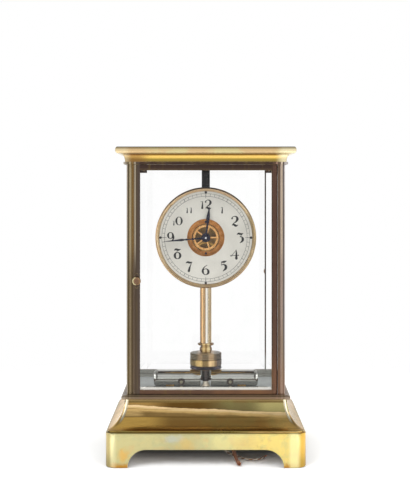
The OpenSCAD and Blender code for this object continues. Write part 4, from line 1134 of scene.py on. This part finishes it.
def cove_brass(place):
    x = mm_of(place, "X")
    grain = cloud(spread(place, 0.1, 0.1, 1.4), 5, 6, 0.65)
    wave = cloud(spread(place, 0.5, 0.5, 1), 14, 4, 0.6)
    drift = cloud(spread(place, 1, 1, 0.4), 30, 3)
    hair = cloud(spread(place, 0.05, 0.05, 1), 0.8, 3)
    up = (part_of(place, "Z") - cove_lo.z) * (1 / (cove_hi.z - cove_lo.z)) + 0.05 * (grain - 0.5)
    # Bands up the profile are painted reflections and painted shade.
    colour = bands(up, paint("8a733b"), (0.05, 0.08, "d2a65a"), (0.12, 0.17, "a27c42"), (0.3, 0.36, "a5834a"),
                   (0.4, 0.42, "8c6c36"), (0.43, 0.46, "ac8b54"))
    low = fade(up, 0.06, 0.16)
    # Painted reflections: golden zones low down at both ends.
    colour = tint(fade(x, -30, -60) * low * fade(up, 0.45, 0.4), colour, paint("efc267"))
    colour = tint(fade(x, 50, 75) * low * fade(up, 0.45, 0.36), colour, paint("cfa862"))
    # The streak and the darker brass above it are a painted reflection of a window.
    off = up + 0.0016 * x - 0.618 + 0.16 * (wave - 0.5)
    above = tint(fade(x, -10, 30), paint("664a22"), paint("7d7048"))
    above = tint(fade(x, 40, 60), above, paint("b0a46c"))
    above = tint(fade(x, -30, -60), above, paint("a8864c"))
    above = bands(up, above, (0.86, 0.91, "7c663c"), (0.93, 0.97, "978158"))
    colour = tint(fade(off, 0.05, 0.075), colour, above)
    streak = fade(off, -0.13, -0.06) * fade(off, 0.075, 0.055)
    left_end = fade(x, -56, -66) * fade(up, 0.42, 0.5) * fade(up, 0.78, 0.72)
    streak = streak.math("MAXIMUM", streak, left_end) * fade(grain, 0.2, 0.5)
    colour = tint(streak, colour, tint(fade(off, -0.05, 0.03), paint("eac480"), paint("fddca6")))
    # Painted highlight on the lip at the right end.
    colour = tint(fade(x, 20, 50) * fade(up, 0.05, 0.02), colour, paint("e8c888"))
    colour = tint(fade(grain, 0.52, 0.66) * 0.3, colour, paint("6a5326"))
    colour = tint(fade(drift, 0.5, 0.66) * 0.25, colour, paint("8c9058"))
    mitre = mitre_of(place)
    # Painted highlight beside each mitre.
    colour = tint(fade(mitre, -4.5, -3) * fade(mitre, 0.2, 0) * fade(up, 0.2, 0.4), colour, paint("fff3d2"))
    colour = tint(seam(place) * 0.8, colour, paint("4a3f24"))
    return surface(colour, 0.15 + 0.18 * drift, relief(hair, 0.008))


finish("aged_brass", cove_brass)

# %% [markdown]
# The cornice is seen from below, so each level of its profile shows another part of the room, and this
# is painted as reflections: the hollow is golden in its middle and brown above, the bead is pale, and
# the ends carry a painted highlight. The roof is painted dull and grey at its border, as shade along
# the top edge.


# %% Brass of the cornice
def cornice_brass(place):
    x, y = mm_of(place, "X"), mm_of(place, "Y")
    broad = cloud(spread(place, 0.4, 0.4, 1), 12)
    hair = cloud(spread(place, 0.05, 0.05, 1), 0.7, 3)
    up = mm_of(place, "Z") - corn_lo.z / MM + 0.5 * (broad - 0.5)
    bead = tint(fade(broad, 0.42, 0.6), paint("dcbc8c"), paint("dccd98"))
    # Painted reflections: bands up the hollow, golden in the middle.
    hollow = bands(up, paint("6a552c"), (0.2, 1.0, "9c8642"), (1.8, 2.6, "ab9242"), (2.9, 3.9, "f4cb6d"),
                   (5.6, 6.4, "a47c39"))
    # Painted reflection: the left of the hollow is darker.
    hollow = tint(fade(x, -50, -66) * 0.7, hollow, paint("8c6038"))
    colour = tint(fade(up, 7.6, 8.5), hollow, bead)
    # Painted highlights at both ends.
    colour = tint(0.4 * fade(x, -70, -78) + 0.8 * fade(x, 66, 75), colour, paint("fdf0c6"))
    inside = x.math("MINIMUM", post_hi.x / MM - abs(x), post_hi.y / MM - abs(y))
    # Painted shade: the roof is grey at its border.
    roof = tint(fade(inside, -4, 2), paint("80776a"), paint("b09a62"))
    colour = tint(fade(up, 13.2, 14.1), colour, roof)
    # Rounded edges: partly wear, partly a painted highlight.
    colour = tint(edge_wear_and_glint(place, 0.5) * 0.5, colour, paint("f6e8bc"))
    colour = tint(seam(place) * 0.5 * fade(up, 13.4, 12.8), colour, paint("6a5530"))
    return surface(colour, 0.13 + 0.16 * broad, relief(hair, 0.006))


finish("cornice_brass", cornice_brass)

# %% [markdown]
# The posts and door frames were never polished again, and have turned brown. Where fingers and hinges
# rub, the gold shows through: along the edges, and in upright streaks. The bands follow the distance from
# the outer side of the posts, so the posts and the stiles of the doors each get their own tone; they are
# mostly painted highlights and reflections of the beads and flutes, lighter in the upper half, and a
# painted light strip in the gap beside the right door takes away the shade there. The rails between them
# follow the height, and a painted highlight runs along the top of the base moulding.


# %% Brown patina
def strip(value, low, high, soft=0.4):
    """1 between two values, with a soft border inside each."""
    return fade(value, low, low + soft) * fade(value, high, high - soft)


def patina(place):
    x, y, z = mm_of(place, "X"), mm_of(place, "Y"), mm_of(place, "Z")
    streak = cloud(spread(place, 1, 1, 0.03), 4)
    broad = cloud(place, 30)
    small = cloud(place, 2.4, warp=0.6)
    edge = x.math("MAXIMUM", post_hi.x / MM - abs(x), post_hi.y / MM - abs(y)) + 0.6 * (streak - 0.5)
    upper = fade(z, 180, 215)
    # Bands across each post: mostly painted highlights and reflections of the bead and flute.
    left = bands(edge, paint("b8b0a4"), (-1.5, 0, "8c8172"), (1.2, 1.6, "45391f"), (2.3, 2.7, "8b7c64"),
                 (4.1, 4.5, "5f503a"), (5.8, 6.3, "69594a"), (7.5, 8, "53463a"), (9.8, 10.2, "564a42"))
    # Painted highlights: lighter strips in the upper half.
    left = tint(upper * strip(edge, 2.2, 4.6) * 0.6, left, paint("c4b694"))
    left = tint(upper * strip(edge, 7.3, 9.2), left, paint("a89c88"))
    left = tint(upper * strip(edge, 4.6, 7.0) * 0.6, left, paint("96743c"))
    right = bands(edge, paint("c0b8b4"), (0.6, 1.1, "776e6c"), (1.3, 1.7, "463c38"), (2.2, 2.6, "bca89e"),
                  (4.0, 4.4, "6a584e"), (7.8, 8.4, "5e473c"), (11.4, 11.9, "4a3931"))
    right = tint(upper * strip(edge, 2.2, 4.4) * 0.6, right, paint("ecdcc4"))
    # Painted light in the gap beside the right door, which takes away the shade there.
    right = tint(strip(edge, 7.3, 8.8, 0.3), right, paint("b08c7a"))
    rail = bands(z, paint("62493a"), (70, 100, "564a42"), (270, 279, "564638"), (281.5, 283.5, "463630"))
    colour = tint(fade(edge, 12.2, 13), tint(fade(x, -10, 10), left, right), rail)
    colour = tint(fade(streak, 0.57, 0.7) * 0.35, colour, paint("766234"))
    foot = fade(z, 120, 68) * fade(broad + 0.0025 * x, 0.42, 0.7)
    colour = tint(foot * 0.45, colour, paint("8e6444"))
    mould_top = mould_hi.z / MM
    # Painted highlight along the top of the base moulding.
    colour = tint(fade(z, mould_top + 0.4, mould_top - 0.4) * 0.6, colour, paint("96826a"))
    colour = tint(fade(small, 0.62, 0.8) * 0.4, colour, paint("3a2e28"))
    rear_rail = fade(y, 30, 50) * fade(y, 62.5, 60.5) * fade(z, 90, 78)
    colour = tint(rear_rail, colour, paint("cac8c0"))
    rub = edge_wear_and_glint(place, 0.6) * fade(streak, 0.4, 0.6)
    colour = tint(rub * 0.7, colour, paint("b49a68"))
    return surface(colour, 0.24 + 0.2 * small - 0.08 * rub, relief(small, 0.015), 0.9)


finish("dark_patina", patina)

# %% [markdown]
# The dial was silvered by rubbing it with salts, which leaves a matt surface with a fine even grain. The
# floor under the pendulum has the same finish, scuffed by cleaning, and duller at the rear, where no
# light falls on it.


# %% Silvered dial and floor
def silvered(light, deep, speck, rear, grain_deep, shine):
    def recipe(place):
        y = mm_of(place, "Y")
        grain = cloud(place, 0.35, 3, 0.7)
        broad = cloud(place, 22)
        spots = cloud(place, 1.6, 3)
        colour = tint(fade(broad, 0.36, 0.66), paint(light), paint(deep))
        colour = tint(fade(grain, 0.45, 0.75) * 0.35, colour, paint(speck))
        colour = tint(fade(spots, 0.66, 0.8) * 0.5, colour, paint(speck))
        colour = tint(fade(y, -25, 0), colour, paint(rear))
        return surface(colour, 0.42 + 0.2 * grain, relief(grain, grain_deep), shine * fade(y, -10, -30))
    return recipe


finish("silvered_dial", silvered("ece8df", "e2ded5", "beb9b0", "d4d0c8", 0.01, 0.15))
finish("silvered_floor", silvered("fdfdfb", "f6f5f1", "dcdad5", "d2d6d5", 0.02, 0.3))

# %% [markdown]
# The insulating parts are ebonite, a hard black rubber that goes brown with age, and a turned foot of
# porcelain whose glaze has fine cracks. The fronts of the terminals are painted light grey as a
# highlight. The ink of the dial is matt and not quite even.


# %% Ebonite, porcelain and ink
def ebonite(place):
    small = cloud(place, 1.8)
    broad = cloud(place, 9, 3)
    colour = tint(fade(broad, 0.4, 0.65), paint("2c2624"), paint("40342c"))
    # Painted highlight: the front of the terminals is light grey.
    colour = tint(fade(mm_of(place, "Y"), lit_front_rear + 0.3, lit_front_rear), colour, paint("8f8a74"))
    colour = tint(fade(small, 0.55, 0.75) * 0.4, colour, paint("5c5044"))
    return {**surface(colour, 0.3 + 0.25 * small, relief(small, 0.02), 0.0), "Coat Weight": 0.3 * broad}


def porcelain(place):
    crack = place.node("TexVoronoi", {"feature": "DISTANCE_TO_EDGE"}, {"Vector": place, "Scale": 700.0})
    broad = cloud(place, 5)
    colour = tint(fade(broad, 0.38, 0.66), paint("fff6e6"), paint("f8e6cc"))
    colour = tint(fade(crack, 0.05, 0.0) * 0.35, colour, paint("b08f6c"))
    return {**surface(colour, 0.16 + 0.12 * broad, relief(broad, 0.02), 0.0), "Coat Weight": 0.5 * broad}


def ink_black(place):
    small = cloud(place, 0.5, 3)
    colour = tint(fade(small, 0.4, 0.7), paint("0c0b0d"), paint("1c1a1a"))
    return surface(colour, 0.4 + 0.2 * small, relief(small, 0.01), 0.0)


LIT_FRONT_DEEP = 0.8
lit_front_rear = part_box("coil_terminals")[0].y / MM + LIT_FRONT_DEEP
finish("ebonite", ebonite)
finish("ivory_porcelain", porcelain)
finish("dial_ink", ink_black)

# %% [markdown]
# Cotton is rough and a little fluffy. Its strands are modelled, so the finish only adds the fibres on
# them, and sheen, which is the light that stray fibres catch at the border of a thread.


# %% Cotton
def cotton(light, deep, fluff):
    def recipe(place):
        fibre = cloud(place, 0.22, 3, 0.7)
        broad = cloud(place, 3, 3)
        colour = tint(fade(broad, 0.38, 0.64), paint(light), paint(deep))
        colour = tint(fade(fibre, 0.5, 0.72) * 0.6, colour, paint(fluff))
        return {**surface(colour, 0.78 + 0.18 * fibre, relief(fibre, 0.06), 0.0), "Sheen Weight": 0.3}
    return recipe


finish("brown_cloth", cotton("b07a5c", "8c5a42", "cc9a7c"))
finish("braid_pale", cotton("fbf3e4", "eadfc8", "fffaf0"))
finish("braid_brown", cotton("a67c5e", "805a44", "c49c80"))

# %% [markdown]
# The panes are plate glass with bevelled rims. Old glass is never quite flat, so a very shallow ripple
# bends what is seen through it. Along the foot of the front pane a thin white band is painted in, shaded
# as putty, standing for the white that the bottom bevel bends into view. A pane that blocked all light
# would leave the movement in the dark, so light rays on their way to a lamp pass straight through.

# %% Glass
WHITE_FOOT_UP = 3.6
GLASS_IOR = 1.3
white_foot_top = pane_lo.z / MM + WHITE_FOOT_UP
finishes["clear_glass"] = bpy.data.materials.new("clear_glass")
wire = blank(finishes["clear_glass"])
place = wire.node("TexCoord", out="Object")
smear = cloud(spread(place, 1, 1, 0.5), 9)
dull = fade(smear, 0.5, 0.8)
glass = wire.node("BsdfPrincipled", {}, {
    "Base Color": tint(dull * 0.3, paint("ffffff"), paint("f8fbf9")), "Roughness": 0.012 * dull,
    "Normal": relief(cloud(place, 30, 2), 0.02), "IOR": GLASS_IOR, "Transmission Weight": 1.0,
    "Specular IOR Level": 0.3})
# Painted white band at the foot of the front pane, shaded as putty: it stands for the white that the bottom
# bevel bends into view.
white_foot = wire.node("BsdfPrincipled", {}, {
    "Base Color": tint(smear, paint("fffdf6"), paint("f8f4ea")), "Roughness": 1.0, "Specular IOR Level": 0.0})
white_foot_share = fade(mm_of(place, "Z") + 0.8 * smear, white_foot_top + 0.8, white_foot_top) * fade(mm_of(place, "Y"), -30, -50)
pane = wire.node("MixShader", {}, {0: white_foot_share, 1: glass, 2: white_foot})
clear = wire.node("BsdfTransparent", {}, {"Color": (0.97, 0.98, 0.97, 1)})
shadow = wire.node("LightPath", out="Is Shadow Ray")
wire.node("OutputMaterial", {}, {"Surface": wire.node("MixShader", {}, {0: shadow, 1: pane, 2: clear})})
print("finish clear_glass")

# %% [markdown]
# Each solid came in with a plain material named for its slot in the record. The finish of the same name
# takes its place, unless the solid has one of its own. The underside of the block is raw from the
# casting, and the braided sleeve has two finishes, because its strands alternate between pale and brown
# thread.

# %% Dress everything
SPECIAL = {"braided_lead": "braid_pale", "bezel": "bezel_gilt", "front_latch": "knob_bronze",
           "rear_latch": "knob_bronze", "front_plate": "movement_dark", "back_plate": "movement_dark",
           "hand_nut": "blued_nut", "bob_ring": "bob_gold", "rod_ferrule": "ferrule_gold",
           "iron_disc": "plated_disc"}
DRESS = {"brown_lead_cloth": "brown_cloth", "brown_lead_whipping": "brown_cloth",
         "brown_lead_copper": "copper_wire", "braided_lead_sleeve": "braid_pale",
         "braided_lead_whipping": "braid_brown", "braided_lead_copper": "copper_wire",
         "lower_block": "block_brass", "hollow_moulding": "aged_brass", "case_moulding": "dark_patina",
         "cornice_moulding": "cornice_brass", "front_pane": "clear_glass", "spring_leaf": "steel_fittings",
         "milled_nut": "nut_steel", "dial_numerals": "dial_ink", "minute_track": "dial_ink",
         "quarter_dots": "dial_ink", "ring_screws": "blued_steel"}
for name, solid in nodes.items():
    for holder in solid.material_slots:
        slot_name = holder.material.name.split(".")[0]
        holder.material = finishes[SPECIAL.get(name, slot_name)]
for name, finish_name in DRESS.items():
    bpy.data.objects[name].data.materials.append(finishes[finish_name])

wall_faces = len(columns[0])
base_block.data.materials.append(finishes["raw_casting"])
for polygon in base_block.data.polygons:
    polygon.material_index = int(polygon.index % wall_faces == wall_faces - 2)
braided_lead.data.materials.append(finishes["braid_brown"])
first = 0
for strand, count in enumerate(len(faces) for _, faces in braid_parts):
    for polygon in braided_lead.data.polygons[first:first + count]:
        polygon.material_index = strand % 2
    first += count
print("dressed", len(nodes), "solids and", len(DRESS), "pieces")

# %% [markdown]
# The clock stands on a white table in a bright room. For the camera the table is painted white; shadows
# on it stay, because they come from light that doesn't arrive, and further off it melts into the white of
# the room. Under the front apron the paint is lighter in front and darker behind, as the light from the
# room falls there.


# %% Table
def paths(wire):
    """Shares of a light path: seen straight or through glass, and seen in polished metal."""
    straight, through, mirror = (wire.node("LightPath", out=f"Is {kind} Ray")
                                 for kind in ("Camera", "Transmission", "Glossy"))
    polished, matt = (wire.math("MINIMUM", wire.node("LightPath", out=f"{kind} Depth"), 1.0)
                      for kind in ("Glossy", "Diffuse"))
    seen = straight + through * (1 - polished) * (1 - matt)
    return seen, wire.math("MAXIMUM", mirror, through) * (1 - seen) * (1 - matt)


def grey(light):
    return (light, light, light, 1)


TABLE = 0.7
TABLE_Z = -0.0002
TABLE_DAY = 0.4
TABLE_SEEN = 1.5
TABLE_MIRRORED = (1.14, 1.8)
MELTS = (0.25, 0.6)
corners = [(x * TABLE, y * TABLE, TABLE_Z) for x, y in ((-1, -1), (1, -1), (1, 1), (-1, 1))]
table = bpy.data.objects.new("table", make_mesh("table", corners, [[0, 1, 2, 3]]))
bpy.context.scene.collection.objects.link(table)
table_white = bpy.data.materials.new("table_white")
table.data.materials.append(table_white)
wire = blank(table_white)
seen, shiny = paths(wire)
place = wire.node("TexCoord", out="Object")
aside, deep = abs(mm_of(place, "X")), mm_of(place, "Y")
under = fade(aside, 80, 70)
stray = (1.3 * fade(deep, -80, -58) - 1.4 * fade(deep, -54, -30)) * under
shade = (1 + stray) * (1 - 0.6 * fade(deep, -36, -15) * under)
shown = wire.node("CombineXYZ", {}, {axis: TABLE_SEEN * shade for axis in "XYZ"})
mirrored = tint(fade(aside, 100, 170), grey(TABLE_MIRRORED[0]), grey(TABLE_MIRRORED[1]))
white = tint(seen, tint(shiny, grey(TABLE_DAY), mirrored), shown)
top = wire.node("MixShader", {}, {0: fade(size_of(place), *MELTS), 2: wire.node("BsdfTransparent"),
                                  1: wire.node("BsdfDiffuse", {}, {"Color": white})})
wire.node("OutputMaterial", {}, {"Surface": top})
print("table", 2 * TABLE, "m wide")

# %% [markdown]
# Polished brass shows the room more than itself. So the room is brighter at both sides than behind the
# camera, and dimmer towards the ceiling, which rounds off every moulding. Seen straight, it is plain
# white.

# %% Room
WALL = (0.95, 0.45, 1.5)
CEILING_DIM = 0.5
AMBIENT = 0.32
room = bpy.data.worlds.new("room")
bpy.context.scene.world = room
wire = blank(room)
seen, shiny = paths(wire)
way = wire.node("TexCoord", out="Generated")
aside = abs(part_of(way, "X"))
wall = WALL[0] - WALL[1] * fade(aside, 0.35, 0.55) + WALL[2] * fade(aside, 0.72, 0.95)
wall = wall * (1 - CEILING_DIM * fade(part_of(way, "Z"), 0.1, 0.7))
below = fade(part_of(way, "Z"), 0.0, -0.08)
strength = seen + shiny * (wall * (1 - below) + below) + (1 - seen - shiny) * AMBIENT
light = wire.node("Background", {}, {"Color": (1, 1, 1, 1), "Strength": strength})
wire.node("OutputWorld", {}, {"Surface": light})
print("room with an ambient light of", AMBIENT)

# %% [markdown]
# Four large soft lamps light the clock as windows and white walls do. A lamp would show in the brass and
# in the glass as a hard white square, so polished things and panes don't see them: what they show is the
# room.

# %% Lamps
LAMP_AIM = Vector((0, 0, 0.15))


def soft_lamp(name, at, size, watts):
    data = bpy.data.lights.new(name, "AREA")
    data.shape = "RECTANGLE"
    data.size, data.size_y = size
    data.energy = watts
    lamp = bpy.data.objects.new(name, data)
    lamp.location = at
    lamp.rotation_euler = (LAMP_AIM - lamp.location).to_track_quat("-Z", "Y").to_euler()
    lamp.visible_glossy = False
    lamp.visible_transmission = False
    bpy.context.scene.collection.objects.link(lamp)
    print("lamp", name, watts, "W")


soft_lamp("window", (-1.15, -1.5, 1.6), (1.4, 1.4), 26)
soft_lamp("white_wall", (1.3, -1.3, 1.45), (1.2, 1.4), 20)
soft_lamp("front_wall", (0.2, -2.2, 0.2), (1.6, 0.4), 13)
soft_lamp("ceiling", (0, 0.3, 2.4), (2.0, 2.0), 14)

# %% [markdown]

# %% Done
print("scene dressed")
